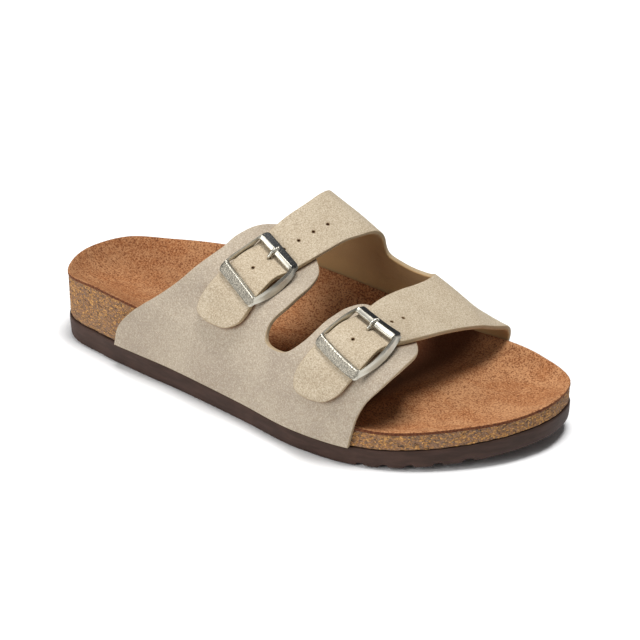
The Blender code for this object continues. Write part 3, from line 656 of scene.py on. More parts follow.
def granuleFinish():
    finish = Finish("cork granule", {"Roughness": 0.85, "Specular IOR Level": 0.3})
    speck = finish.cloud(2200.0, detail=2.0, rough=0.6)
    colour = finish.ramp(finish.mark("tone"), corkLook, (
        (0.0, "dark"), (0.3, "grey"), (0.52, "base"), (0.7, "ochre"), (1.0, "gold")))
    finish.feed("Base Color", finish.paint(colour, finish.band(speck, 0.55, 0.75) * 0.5, corkLook["dark"]))
    finish.bump(((speck, 0.00015, 0.4),))
    return finish


# Suede sock over the footbed

sockLook = {
    "points": 900, "thickness": 1.8, "cell": 1.7, "underCell": 7.0, "cutDepth": 0.6,
    "ragged": 0.38, "raggedSize": 1.3, "waver": 0.132, "waverSize": 5.0,
    "nap": 0.16, "napSizes": (14.0, 3.5), "napFine": 0.4,
    # shaded is the colour of painted shade
    "face": "9f673f", "light": "b9885f", "deep": "6f4229", "edge": "4f2a1d", "shaded": "361405",
    # painted shade under the front strap: a line from the outer to the inner edge, soft reach, depth and
    # fade
    "darkLine": ((204.2, -14.5), (218.1, 53.8)), "darkSoft": 16.0, "darkDeep": 24.0, "darkFade": 44.0,
    "darkShare": 0.95,
    # the heel is a little darker, and the wall of its cup gets painted shade, more than its floor and rim
    "heelShade": 0.08, "heelReach": (70.0, 118.0), "cupCentre": (33.0, -12.0), "cupReach": (50.0, 40.0),
    "cupShade": 0.22, "cupWall": (0.3, 0.72), "cupRim": (0.9, 1.15), "cupRimShare": 0.6,
}
# down the cut edge: depth below the top, how far it stands in, and how much it is cut edge
sockEdge = ((0.0, 1.3, 0.0), (0.05, 0.75, 0.1), (0.25, 0.35, 0.45), (0.6, 0.22, 1.0), (1.2, 0.22, 1.0),
            (1.65, 0.35, 1.0), (1.8, 0.9, 1.0))


# painted shade in the sock's colour: under the front strap, and on the heel cup's wall
def sockShade(flat):
    start, end = np.array(sockLook["darkLine"])
    ahead = (end - start) / np.linalg.norm(end - start)
    behind = (flat - start) @ np.array((-ahead[1], ahead[0]))
    far = rampUp(behind, sockLook["darkDeep"], sockLook["darkDeep"] + sockLook["darkFade"])
    strap = rampUp(behind, 0.0, sockLook["darkSoft"]) * (1 - far)
    cup = np.linalg.norm((flat - sockLook["cupCentre"]) / np.array(sockLook["cupReach"]), axis=1)
    rim = sockLook["cupRimShare"] * rampUp(cup, *sockLook["cupRim"])
    wall = sockLook["cupShade"] * rampUp(cup, *sockLook["cupWall"]) * (1 - rim)
    heel = (sockLook["heelShade"] + wall) * (1 - rampUp(flat[:, 0], *sockLook["heelReach"]))
    return np.maximum(strap, heel)


def makeSock(finish):
    edge, inward = rimRing(sockLook["points"])
    ragged = sockLook["ragged"] * np.abs(ripple(edge, sockLook["raggedSize"], seeds["ragged"]))
    waver = sockLook["waver"] * ripple(edge, sockLook["waverSize"], seeds["waver"])
    faceLoop, underLoop = (edge[:, :2] + inward * row[1] for row in (sockEdge[0], sockEdge[-1]))
    top = dishHeight(faceLoop)
    shell = Shell()
    rings = []
    for depth, reach, cut in sockEdge:
        share = rampUp(depth, 0.0, sockLook["cutDepth"])
        flat = edge[:, :2] + inward * (reach + ragged * share)[:, None]
        height = top - depth + waver * share
        rings.append(shell.put(lifted(flat, height), edge=cut, shaded=sockShade(flat)))
    shell.stack(rings)
    face = fillLoops([faceLoop], sockLook["cell"])
    height = dishHeight(face[0])
    spots = lifted(face[0], height)
    coarseSize, fineSize = sockLook["napSizes"]
    nap = ripple(spots, coarseSize, seeds["napCoarse"])
    nap += sockLook["napFine"] * ripple(spots, fineSize, seeds["napFine"])
    shell.cap(rings[0], face, height + sockLook["nap"] * nap, edge=0.0, shaded=sockShade(face[0]))
    under = fillLoops([underLoop], sockLook["underCell"])
    height = dishHeight(under[0]) - sockLook["thickness"]
    shell.cap(rings[-1], under, height, edge=0.0, shaded=sockShade(under[0]))
    makePiece("suede_sock", trimmed(shell), finish, "insole", sharp=75.0)


def sockFinish():
    finish = Finish("tan suede", {"Roughness": 0.95, "Specular IOR Level": 0.15, "Sheen Weight": 0.25,
                                  "Sheen Roughness": 0.5, "Sheen Tint": tint("e0a878")})
    brushed = finish.cloud(55.0, detail=5.0, rough=0.62, stretch=(0.7, 1.2, 1.0), warp=0.6)
    nap = finish.cloud(520.0, detail=4.0, rough=0.75, warp=0.5)
    fibre = finish.cloud(1150.0, detail=2.0, rough=0.75)
    colour = finish.paint(tint(sockLook["face"]), finish.band(brushed, 0.36, 0.66), sockLook["light"])
    # the shaded mark paints shade into the colour
    for share, code in ((finish.band(nap, 0.6, 0.3) * 0.5, "deep"), (finish.band(fibre, 0.5, 0.36), "deep"),
                        (finish.band(fibre, 0.5, 0.64) * 0.95, "light"),
                        (finish.mark("shaded") * sockLook["darkShare"], "shaded")):
        colour = finish.paint(colour, share, sockLook[code])
    rough = finish.paint(tint(sockLook["edge"]), finish.band(fibre, 0.45, 0.6), sockLook["deep"])
    finish.feed("Base Color", finish.blend(finish.band(finish.mark("edge"), 0.25, 0.6), colour, rough))
    finish.bump(((nap, 0.0006, 0.45), (fibre, 0.0004, 0.55)))
    return finish


# The last that the quarters are pulled over

lastShape = {
    # station, lean, outer inset, height and round, inner inset, height, round and rim rise
    "rows": (
        (40.0, 0.60, 6.5, 72.0, 19.0, 9.0, 122.0, 11.0, 6.5),
        (75.0, 0.55, 6.8, 67.5, 19.5, 10.0, 102.5, 11.5, 6.5),
        (107.0, 0.49, 7.0, 63.6, 20.0, 11.4, 86.3, 12.0, 6.5),
        (147.0, 0.38, 6.7, 59.0, 20.5, 12.8, 66.5, 14.0, 6.5),
        (187.0, 0.28, 6.4, 54.5, 21.0, 15.7, 47.6, 15.5, 6.4),
        (215.0, 0.22, 6.6, 50.0, 20.5, 24.0, 37.1, 15.0, 3.2),
        (235.0, 0.20, 6.6, 46.0, 20.0, 20.0, 37.6, 13.0, 3.2),
    ),
    "slant": 0.2, "outerRise": 3.0, "outerRimRound": 11.0, "roundPerRise": 1.7,
    "arcSteps": 24, "girthSteps": 400, "settleRounds": 8,
}


def filletChain(corners, radii):
    points = [np.array(corners[0], float)]
    for before, corner, after, radius in zip(corners, corners[1:], corners[2:], radii):
        corner = np.array(corner, float)
        back = np.array(before) - corner
        ahead = np.array(after) - corner
        back /= np.linalg.norm(back)
        ahead /= np.linalg.norm(ahead)
        half = math.acos(float(np.clip(back @ ahead, -1.0, 1.0))) / 2
        middle = (back + ahead) / np.linalg.norm(back + ahead)
        centre = corner + middle * radius / math.sin(half)
        start = corner + back * radius / math.tan(half) - centre
        end = corner + ahead * radius / math.tan(half) - centre
        first = math.atan2(start[1], start[0])
        turn = (math.atan2(end[1], end[0]) - first + math.pi) % (2 * math.pi) - math.pi
        for step in range(lastShape["arcSteps"] + 1):
            angle = first + turn * step / lastShape["arcSteps"]
            points.append(centre + radius * np.array((math.cos(angle), math.sin(angle))))
    points.append(np.array(corners[-1], float))
    return np.array(points)


def sideOfSection(station, lean, edge, rise):
    slant = lastShape["slant"]
    across = edgeAcross(station, edge)
    for _ in range(lastShape["settleRounds"]):
        across = edgeAcross(station + slant * across, edge)
    base = (float(across), float(soleTop(station + slant * across)) + gap)
    rimAcross = across
    rimHeight = edgeRim(station, edge) + rise
    for _ in range(lastShape["settleRounds"]):
        along = station + slant * rimAcross + lean * (rimHeight - base[1])
        rimHeight = edgeRim(along, edge) + rise
        rimAcross = edgeAcross(along, edge)
    return base, (float(rimAcross), float(rimHeight))


class Last:  # inner face of the leather over station and girth
    def __init__(self):
        rows = np.array(lastShape["rows"])
        self.stations = np.arange(rows[0, 0], rows[-1, 0] + 0.5, 1.0)
        self.girths = np.empty(len(self.stations))
        sheets = []
        for index, station in enumerate(self.stations):
            row = smoothThrough(rows[:, 0], rows[:, 1:], [station])[0]
            sheets.append(self.section(index, station, row))
        self.points = np.array(sheets)
        normals = np.cross(np.gradient(self.points, axis=0), np.gradient(self.points, axis=1))
        normals /= np.linalg.norm(normals, axis=2, keepdims=True)
        top = normals[len(self.stations) // 2, lastShape["girthSteps"] // 2, 2]
        self.normals = normals if top > 0 else -normals

    def section(self, index, station, row):
        lean, outIn, outHigh, outRound, inIn, inHigh, inRound, inRise = row
        baseOut, rimOut = sideOfSection(station, lean, outerEdge, lastShape["outerRise"])
        baseIn, rimIn = sideOfSection(station, lean, innerEdge, inRise)
        chain = filletChain(
            (baseOut, rimOut, (rimOut[0] + outIn, outHigh), (rimIn[0] - inIn, inHigh), rimIn, baseIn),
            (lastShape["outerRimRound"], outRound, inRound, lastShape["roundPerRise"] * inRise))
        length = runningLength(chain)
        self.girths[index] = length[-1]
        girth = np.linspace(0.0, length[-1], lastShape["girthSteps"] + 1)
        across = np.interp(girth, length, chain[:, 0])
        height = np.interp(girth, length, chain[:, 1])
        along = station + lastShape["slant"] * across + lean * (height - 0.5 * (baseOut[1] + baseIn[1]))
        return np.column_stack((along, across, height))

    def total(self, station):
        return np.interp(station, self.stations, self.girths)

    def at(self, places, offset):
        places = np.asarray(places, float)
        steps = lastShape["girthSteps"]
        row = np.clip(places[:, 0] - self.stations[0], 0, len(self.stations) - 1 - tiny)
        share = np.clip(places[:, 1] / self.total(places[:, 0]), 0.0, 1.0)
        column = np.clip(share * steps, 0, steps - tiny)
        i, j = row.astype(int), column.astype(int)
        s, t = (row - i)[:, None], (column - j)[:, None]

        def mixed(grid):
            near = grid[i, j] * (1 - t) + grid[i, j + 1] * t
            far = grid[i + 1, j] * (1 - t) + grid[i + 1, j + 1] * t
            return near * (1 - s) + far * s

        normal = mixed(self.normals)
        normal /= np.linalg.norm(normal, axis=1, keepdims=True)
        return mixed(self.points) + normal * np.reshape(offset, (-1, 1))


last = Last()
print("last ready,", len(last.stations), "sections")


# Leather patterns: station on the last, girth from the outer or inner base

quarterLook = {
    "thickness": 2.4, "cell": 1.5, "edgeStep": 1.2, "round": 0.5, "cutEdge": (0.1, 0.6), "shadowReach": 1.6,
    "holeRadius": 0.72, "holeRound": -0.22, "holeSides": 22,
    "outerFoldEnd": 12.0, "innerFoldEnd": (78.0, 93.0),
    # the straps step down from the tabs over a ramp, their tips curl up, and the buckles bulge them
    "split": 147.0, "rearRamp": (93.0, 111.0), "frontRamp": (81.0, 126.0),
    "rearTip": 33.0, "frontTip": 20.0, "curl": 1.0, "curlReach": 9.0,
    "bulge": 0.7, "bulgeMore": 0.7, "bulgeAt": -0.4, "bulgeWidth": 4.4, "bulgeRamp": (2.0, 11.0),
    # the outer quarter is the same suede as the inner one, in a darker, greyer colour: painted shade on the
    # side panel
    "outerShadedFace": "9d9082", "outerGrain": 0.55, "innerFace": "b0a088", "innerGrain": 0.72,
    # hole is a painted shade colour: on the punched holes' walls and under the straps
    "pale": "c9bda8", "deep": "8f7f69", "back": "a6855a", "cut": "a08b6a", "hole": "7a5637",
}
outerPattern = (
    (57.0, 0.0), (54.0, 11.0), (58.5, 23.5), (65.0, 31.5), (76.0, 51.5), (79.5, 64.0), (78.5, 74.5),
    (81.0, 82.5), (88.5, 88.0), (100.0, 89.5), (113.0, 87.0), (124.0, 82.0), (133.0, 76.0),
    (137.8, 68.0), (140.4, 60.0), (141.8, 52.0), (141.0, 42.0), (145.0, 35.0), (154.0, 33.4),
    (161.0, 35.0), (165.5, 41.0), (165.5, 56.0), (164.0, 67.0), (166.5, 76.0), (173.0, 78.5), (186.0, 78.5),
    (199.0, 71.5), (208.0, 62.5), (213.5, 53.0), (216.0, 41.0), (214.5, 31.0), (211.0, 22.0),
    (210.0, 10.0), (210.0, 0.0),
)
innerRearEdge = ((58.0, 0.0), (56.0, 11.0), (61.0, 26.0), (70.0, 45.0), (80.0, 64.0), (86.5, 80.0),
                 (88.5, 98.0))
rearStrapEnd = (
    (89.5, 90.0), (91.4, 81.0), (94.0, 72.0), (94.3, 60.0), (93.6, 49.0), (93.6, 42.0), (96.5, 36.6),
    (103.0, 33.8), (112.0, 33.0), (120.0, 34.0), (125.3, 39.0), (125.6, 44.0), (124.0, 50.0),
    (123.7, 58.0), (123.8, 68.0), (123.6, 78.0), (123.2, 90.0), (123.0, 102.0),
)
innerCut = ((125.0, 74.0), (127.5, 61.0), (132.0, 50.5), (141.0, 46.7), (152.0, 45.0), (161.0, 46.5),
            (166.5, 54.0), (168.0, 65.0), (168.0, 77.0))
frontStrapEnd = (
    (169.8, 81.0), (172.4, 71.5), (174.8, 62.0), (175.0, 48.0), (173.6, 36.0), (173.2, 28.0),
    (176.4, 22.4), (187.0, 19.8), (193.5, 20.6), (198.8, 25.5), (201.2, 34.0), (202.2, 48.0),
    (203.6, 58.0), (204.0, 69.0), (204.2, 85.0),
)
innerFrontEdge = ((204.6, 54.0), (205.5, 44.0), (206.3, 33.0), (206.8, 18.0), (206.5, 8.0), (205.0, 0.0))
rearHoles = {"station": 107.7, "first": 60.2, "pitch": 8.05, "count": 6}
frontHoles = {"station": 187.8, "first": 47.8, "pitch": 7.4, "count": 5}
# soft folds: station, girth, turn in degrees, half length, half width, height
outerFolds = (
    (96.0, 30.0, 62.0, 26.0, 7.0, 0.35), (128.0, 26.0, 80.0, 20.0, 8.0, -0.3),
    (178.0, 24.0, 95.0, 18.0, 7.0, 0.3), (150.0, 22.0, 5.0, 20.0, 6.0, 0.3),
    (203.0, 40.0, 70.0, 14.0, 4.0, -0.25),
)
innerFolds = (
    (108.0, 104.0, 5.0, 14.0, 6.0, -0.4), (110.0, 122.0, 8.0, 14.0, 5.0, 0.35),
    (186.0, 94.0, 0.0, 12.0, 7.0, -0.2), (188.0, 110.0, 10.0, 12.0, 6.0, 0.2),
    (100.0, 150.0, 70.0, 22.0, 8.0, 0.35),
)


def resample(points, step):
    points = np.asarray(points, float)
    length = runningLength(points)
    count = max(2, int(round(length[-1] / step)) + 1)
    return smoothThrough(length, points, np.linspace(0.0, length[-1], count))


def fromInner(rows):
    return [(station, float(last.total(station)) - girth) for station, girth in rows]


def baseRun(first, final, inner):
    count = max(2, int(round(abs(final - first) / quarterLook["edgeStep"])))
    stations = np.linspace(first, final, count + 1)[1:-1]
    girth = last.total(stations) if inner else np.zeros(len(stations))
    return np.column_stack((stations, girth))


def holePlaces(holes):
    return [(holes["station"], holes["first"] + k * holes["pitch"]) for k in range(holes["count"])]


probe = 3.0  # step of station and girth over which the last's stretch is read


def strides(place, height):  # what one step of station and one of girth come to on the leather
    station, girth = place
    corners = last.at([(station - probe, girth), (station + probe, girth),
                       (station, girth - probe), (station, girth + probe)], height)
    return (corners[1] - corners[0]) / (2 * probe), (corners[3] - corners[2]) / (2 * probe)


def holeLoop(place):
    wide, high = (quarterLook["holeRadius"] / np.linalg.norm(stride)
                  for stride in strides(place, quarterLook["thickness"]))
    turns = np.arange(quarterLook["holeSides"]) * 2 * math.pi / quarterLook["holeSides"]
    return np.column_stack((place[0] + wide * np.cos(turns), place[1] + high * np.sin(turns)))


def foldHeight(places, folds):
    total = np.zeros(len(places))
    for station, girth, turn, long, wide, height in folds:
        angle = math.radians(turn)
        across, along = places[:, 0] - station, places[:, 1] - girth
        u = across * math.cos(angle) + along * math.sin(angle)
        v = along * math.cos(angle) - across * math.sin(angle)
        total += height * np.exp(-(u / long)**2 - (v / wide)**2)
    return total


class StrapFrame:  # lengths along and across a strap, as stations and girths
    def __init__(self, place):
        self.station, self.girth = place
        byStation, byGirth = strides(place, 2 * quarterLook["thickness"])
        self.skew = -float(byStation @ byGirth) / float(byGirth @ byGirth)
        self.stretch = float(np.linalg.norm(byStation + self.skew * byGirth))

    def place(self, along, across):
        station = self.station + np.asarray(across, float) / self.stretch
        girth = self.girth + self.skew * (station - self.station) + np.asarray(along, float)
        return np.column_stack((station, girth))

    def along(self, station, girth):
        return girth - self.girth - self.skew * (station - self.station)

    def across(self, station):
        return (station - self.station) * self.stretch


rearBuckle = StrapFrame((109.5, 62.6))
frontBuckle = StrapFrame((189.7, 49.3))


def strapLift(places):
    station, girth = places[:, 0], places[:, 1]
    rear = station < quarterLook["split"]
    lift = foldHeight(places, innerFolds) * rampUp(girth, *quarterLook["innerFoldEnd"])
    for name, buckle, mine in (("rear", rearBuckle, rear), ("front", frontBuckle, ~rear)):
        tip = quarterLook[name + "Tip"]
        tab = (quarterLook["thickness"] + gap) * (1 - rampUp(girth, *quarterLook[name + "Ramp"]))
        curl = quarterLook["curl"] * (1 - rampUp(girth, tip, tip + quarterLook["curlReach"]))
        along = (buckle.along(station, girth) - quarterLook["bulgeAt"]) / quarterLook["bulgeWidth"]
        more = quarterLook["bulgeMore"] * rampUp(buckle.across(station), *quarterLook["bulgeRamp"])
        lift += np.where(mine, tab + curl + np.exp(-along**2) * (quarterLook["bulge"] + more), 0.0)
    return lift


def outerLift(places):
    return foldHeight(places, outerFolds) * rampUp(places[:, 1], 0.0, quarterLook["outerFoldEnd"])


def insetLoop(loop, reach):
    ahead = np.roll(loop, -1, axis=0) - np.roll(loop, 1, axis=0)
    side = np.column_stack((-ahead[:, 1], ahead[:, 0]))
    side /= np.linalg.norm(side, axis=1, keepdims=True)
    area = np.sum(loop[:, 0] * np.roll(loop[:, 1], -1) - np.roll(loop[:, 0], -1) * loop[:, 1])
    return loop + side * reach * (1 if area > 0 else -1)


# round of a cut edge: how far in, and the share of the thickness
edgeRound = ((0.35, 0.97), (0.08, 0.86), (0.0, 0.7), (0.0, 0.3), (0.08, 0.14), (0.35, 0.03))


def depthInside(flat, loop):
    away = loopClearance(flat, loop)
    return np.where(insideLoop(flat, loop), away, -away)


def makeQuarter(name, loops, lift, finish, node, cover=None):
    shell = Shell()
    thick = quarterLook["thickness"]
    insets = [insetLoop(loop, quarterLook["holeRound" if k else "round"]) for k, loop in enumerate(loops)]
    corners, faces, border = fillLoops(insets, quarterLook["cell"])
    offset = lift(corners)
    under = 0.0
    # painted shadow: the outer quarter's face is darkened where the inner quarter lies over it, and a little
    # beyond its edge
    if cover is not None:
        under = rampUp(depthInside(corners, cover), -quarterLook["shadowReach"], 0.0)
    upper = shell.put(last.at(corners, offset + thick), edge=0.0, back=0.0, hole=0.0, under=under)
    lower = shell.put(last.at(corners, offset), edge=0.0, back=1.0, hole=0.0)
    shell.fan(faces, upper)
    shell.fan([face[::-1] for face in faces], lower)
    first = 0
    for index, (loop, inset) in enumerate(zip(loops, insets)):
        mine = border[first:first + len(loop)]
        first += len(loop)
        rings = [[upper[k] for k in mine]]
        for reach, share in edgeRound:
            flat = loop + (inset - loop) * reach
            points = last.at(flat, lift(flat) + thick * share)
            # the walls of punched holes take the hole colour, as painted shade
            punched = 1.0 if index else 0.0
            face = (1.0 - punched) * float(rampUp(share, *quarterLook["cutEdge"]))
            rings.append(shell.put(points, edge=face, back=1.0 - punched - face, hole=punched))
        rings.append([lower[k] for k in mine])
        shell.stack(rings)
    makePiece(name, shell, finish, node, sharp=80.0)


def makeUppers(outerFinish, innerFinish):
    edge = resample(outerPattern, quarterLook["edgeStep"])
    outer = np.vstack([edge, baseRun(edge[-1, 0], edge[0, 0], False)])
    rows = (fromInner(innerRearEdge) + list(rearStrapEnd) + fromInner(innerCut) + list(frontStrapEnd)
            + fromInner(innerFrontEdge))
    edge = resample(rows, quarterLook["edgeStep"])
    loops = [np.vstack([edge, baseRun(edge[-1, 0], edge[0, 0], True)])]
    makeQuarter("outer_quarter", [outer], outerLift, outerFinish, "upper_lateral", cover=loops[0])
    for holes in (rearHoles, frontHoles):
        loops += [holeLoop(place) for place in holePlaces(holes)]
    makeQuarter("inner_quarter", loops, strapLift, innerFinish, "upper_medial")


def quarterFinish(name, face, grain):
    finish = Finish(name, {"Roughness": 0.95, "Specular IOR Level": 0.15, "Sheen Weight": 0.2,
                           "Sheen Roughness": 0.55, "Sheen Tint": tint("fff4e0")})
    brushed = finish.cloud(38.0, detail=4.0, rough=0.6, warp=0.5)
    nap = finish.cloud(640.0, detail=3.0, rough=0.75)
    fibre = finish.cloud(1500.0, detail=2.0, rough=0.7)
    colour = tint(face)
    for share, code in ((finish.band(brushed, 0.3, 0.7) * 0.34, "pale"),
                        (finish.band(nap, 0.62, 0.3) * 0.26, "deep"),
                        (finish.band(fibre, 0.5, 0.34) * grain, "deep"),
                        (finish.band(fibre, 0.5, 0.66) * grain, "pale"),
                        # under paints shadow below the straps in the hole colour
                        (finish.mark("under") * 0.85, "hole"), (finish.mark("back"), "back"),
                        # hole paints shade on the punched holes' walls
                        (finish.mark("edge") * 0.75, "cut"), (finish.mark("hole"), "hole")):
        colour = finish.paint(colour, share, quarterLook[code])
    finish.feed("Base Color", colour)
    finish.bump(((nap, 0.0004, 0.4), (fibre, 0.0003, 0.5)))
    return finish


# Pressed rims of the punched holes

rimLook = {"radius": 0.9, "wire": 0.16, "sunk": 0.06, "sides": 28, "wireSides": 8, "colour": "94805f"}


def makeHoleRims(finish):
    places = np.array(holePlaces(rearHoles) + holePlaces(frontHoles))
    height = strapLift(places) + quarterLook["thickness"]
    base = (last.at(places, height - rimLook["sunk"]) - stand) * mm
    ahead = (last.at(places, height + 1.0) - stand) * mm - base
    mesh = bpy.data.meshes.new("hole places")
    mesh.from_pydata(base.tolist(), [], [])
    layer = mesh.attributes.new("facing", "FLOAT_VECTOR", "POINT")
    layer.data.foreach_set("vector", ahead.astype(np.float32).ravel())
    tree, start = newTree("hole rims", (("Radius", "NodeSocketFloat"), ("Wire", "NodeSocketFloat")))
    ring = linkNode(tree, "GeometryNodeCurvePrimitiveCircle", {}, {
        "Resolution": rimLook["sides"], "Radius": start.outputs["Radius"]})
    wire = linkNode(tree, "GeometryNodeCurvePrimitiveCircle", {}, {
        "Resolution": rimLook["wireSides"], "Radius": start.outputs["Wire"]})
    tube = linkNode(tree, "GeometryNodeCurveToMesh", {}, {
        "Curve": ring.outputs["Curve"], "Profile Curve": wire.outputs["Curve"]})
    facing = linkNode(tree, "GeometryNodeInputNamedAttribute", {"data_type": "FLOAT_VECTOR"}, {
        "Name": "facing"})
    turn = linkNode(tree, "FunctionNodeAlignRotationToVector", {"axis": "Z"}, {
        "Vector": facing.outputs[0]})
    laid = linkNode(tree, "GeometryNodeInstanceOnPoints", {}, {
        "Points": start.outputs["Geometry"], "Instance": tube.outputs["Mesh"],
        "Rotation": turn.outputs["Rotation"]})
    closeTree(tree, laid.outputs[0], finish.material)
    piece = runTree("strap_hole_rims", mesh, tree, {
        "Radius": rimLook["radius"] * mm, "Wire": rimLook["wire"] * mm})
    settle(piece)


def rimFinish():
    finish = Finish("pressed hole rim", {"Roughness": 0.9})
    speck = finish.cloud(2000.0, detail=3.0, rough=0.6)
    colour = finish.paint(tint(rimLook["colour"]), finish.band(speck, 0.4, 0.65), quarterLook["deep"])
    finish.feed("Base Color", colour)
    return finish


# Buckles and their pins

frameLook = {
    "outer": {"back": -12.5, "front": 12.5, "half": 13.4, "round": 2.2},
    "window": {"back": -8.3, "front": 7.3, "half": 12.2, "round": 0.8},
    "sideSteps": 20, "cornerSteps": 8, "under": 5.5, "outerTop": 6.6, "ridge": 7.7, "innerTop": 6.6,
    "dropUnder": 2.5, "dropTop": 0.3, "sideReach": 7.2, "sideEdge": 0.9, "sideBlend": 0.8,
    "lowerRidge": 0.2, "upperRidge": 0.08, "toeBow": 3.0, "toeGap": 1.5, "toeSlope": 0.36,
    "riseRamp": (-6.0, 8.0), "barReach": 0.6, "barBlend": 0.5, "stippleSpan": (0.04, 0.6), "shadeEnd": 0.58,
    # shade is the colour of the painted shade on each upper bar's outer face, and of the stipple's pits
    "silver": "bdb9ad", "face": "aaa496", "shade": "24272c",
    # how each frame sits on its strap: shift along and across, shear, roll, rise at the upper bar
    # and more at that bar's outer edge
    "rear": {"along": 0.0, "across": 0.1, "shear": -0.07, "roll": -0.03, "rise": 0.9, "outer": 0.15},
    "front": {"along": -0.5, "across": -0.9, "shear": -0.05, "roll": 0.0, "rise": 1.5, "outer": 0.75},
}
# over the bar from its outer to its inner foot: share across, which height, a little more, and
# whether it moves with the ridge
barRound = ((0.04, "under", 0.0, 0), (0.0, "under", 0.2, 0), (0.0, "outerTop", -0.3, 0),
            (0.05, "outerTop", -0.04, 0), (0.12, "outerTop", 0.14, 0), (0.5, "ridge", -0.16, 1),
            (0.56, "ridge", -0.03, 1), (0.6, "ridge", 0.0, 1), (0.66, "ridge", -0.08, 1),
            (0.92, "innerTop", 0.22, 0), (0.975, "innerTop", 0.02, 0), (1.0, "innerTop", -0.25, 0),
            (1.0, "under", 0.2, 0), (0.96, "under", 0.0, 0))


def roundedFrame(size):
    radius = size["round"]
    high, wide, low = size["front"] - radius, size["half"] - radius, size["back"] + radius
    steps = frameLook["cornerSteps"]
    arcs = []
    for quarter, along, across in ((0, high, wide), (1, low, wide), (2, low, -wide), (3, high, -wide)):
        turns = [0.5 * math.pi * (quarter + k / steps) for k in range(steps + 1)]
        arcs.append([(along + radius * math.cos(t), across + radius * math.sin(t)) for t in turns])
    points = []
    for arc, following in zip(arcs, arcs[1:] + arcs[:1]):
        points += arc
        start, end = np.array(arc[-1]), np.array(following[0])
        for step in range(1, frameLook["sideSteps"]):
            points.append(tuple(start + (end - start) * step / frameLook["sideSteps"]))
    return np.array(points)


def seat(loop, sit):
    along = loop[:, 0] + sit["along"] + sit["shear"] * loop[:, 1]
    rise = sit["roll"] * loop[:, 1] + sit["rise"] * rampUp(loop[:, 0], *frameLook["riseRamp"])
    return along, loop[:, 1] + sit["across"], rise


def makeBuckle(name, buckle, sit, finish, node):
    outer, window = roundedFrame(frameLook["outer"]), roundedFrame(frameLook["window"])
    back, front, half = (frameLook["window"][k] for k in ("back", "front", "half"))
    reach, blend = frameLook["barReach"], frameLook["barBlend"]
    lower = smoothStep((back + reach - window[:, 0]) / blend)
    upper = smoothStep((window[:, 0] - front + reach) / blend)
    onSide = smoothStep((np.abs(window[:, 1]) - half + frameLook["sideEdge"]) / frameLook["sideBlend"])
    middle = 0.5 * (back + front)
    bow = onSide * np.clip(1 - ((window[:, 0] - middle) / frameLook["sideReach"])**2, 0.0, 1.0)
    toeSide = onSide * (window[:, 1] > 0)
    outer = outer + np.outer(bow * toeSide, (0.0, frameLook["toeBow"]))
    inner = window + np.outer(bow * toeSide, (0.0, frameLook["toeGap"]))
    ridgeShift = frameLook["lowerRidge"] * lower + frameLook["upperRidge"] * upper
    first, final = frameLook["stippleSpan"]
    shell = Shell()
    rings = []
    for share, level, more, ridged in barRound:
        topSide = level != "under"
        drop = frameLook["dropTop" if topSide else "dropUnder"]
        over = share + ridged * ridgeShift
        if level in ("outerTop", "ridge"):
            over = over + frameLook["toeSlope"] * toeSide * (1 - over)
        along, across, rise = seat(outer + (inner - outer) * over[:, None], sit)
        if level == "outerTop":
            rise = rise + sit["outer"] * upper
        height = frameLook[level] + more - drop * bow + rise
        # the shade mark paints shade on the upper bar's outer face
        rings.append(shell.put(last.at(buckle.place(along, across), height),
                               stipple=lower * (topSide and first < share < final),
                               shade=upper * (topSide and share < frameLook["shadeEnd"])))
    shell.stack(rings + rings[:1])
    makePiece(name, shell, finish, node, sharp=38.0)


pinLook = {
    "sides": 18, "steps": 70, "over": 8.6, "hole": 1,
    # along the strap, height over the last, radius: from behind the bar over it
    "root": ((10.7, 6.9, 0.5), (10.55, 7.1, 0.8), (10.3, 7.3, 1.02), (9.85, 7.35, 0.82),
             (9.45, 7.5, 1.05), (9.0, 7.5, 0.84), (8.55, 7.6, 1.05), (8.1, 7.5, 0.9),
             (7.5, 7.35, 0.9), (7.0, 7.2, 0.86)),
    # past the hole, height over the last, radius: down into the hole
    "bend": ((0.6, 6.9, 0.82), (-0.1, 6.3, 0.78), (-0.3, 5.5, 0.66), (-0.3, 3.8, 0.5)),
}


def makePin(name, buckle, sit, holes, finish, node):
    station, girth = holePlaces(holes)[pinLook["hole"]]
    tip, across = float(buckle.along(station, girth)), float(buckle.across(station))
    rows = [(along + sit["along"], height + sit["rise"], radius)
            for along, height, radius in pinLook["root"]]
    rows += [(tip + past, height, radius) for past, height, radius in pinLook["bend"]]
    rows = np.array(rows)
    length = runningLength(rows[:, :2])
    fine = smoothThrough(length, rows, np.linspace(0.0, length[-1], pinLook["steps"]))
    centres = last.at(buckle.place(fine[:, 0], np.full(len(fine), across)), fine[:, 1])
    side = last.at(buckle.place([0.0, 0.0], [-1.0, 1.0]), [pinLook["over"]])
    side = (side[1] - side[0]) / np.linalg.norm(side[1] - side[0])
    ahead = np.gradient(centres, axis=0)
    up = np.cross(ahead, side)
    up /= np.linalg.norm(up, axis=1, keepdims=True)
    turns = np.arange(pinLook["sides"]) * 2 * math.pi / pinLook["sides"]
    shell = Shell()
    rings = []
    for centre, rise, radius in zip(centres, up, fine[:, 2]):
        ring = centre + radius * (np.cos(turns)[:, None] * side + np.sin(turns)[:, None] * rise)
        rings.append(shell.put(ring, stipple=0.0, shade=0.0))
    shell.stack(rings)
    shell.faces += [tuple(rings[0]), tuple(rings[-1])]
    makePiece(name, shell, finish, node, sharp=40.0)


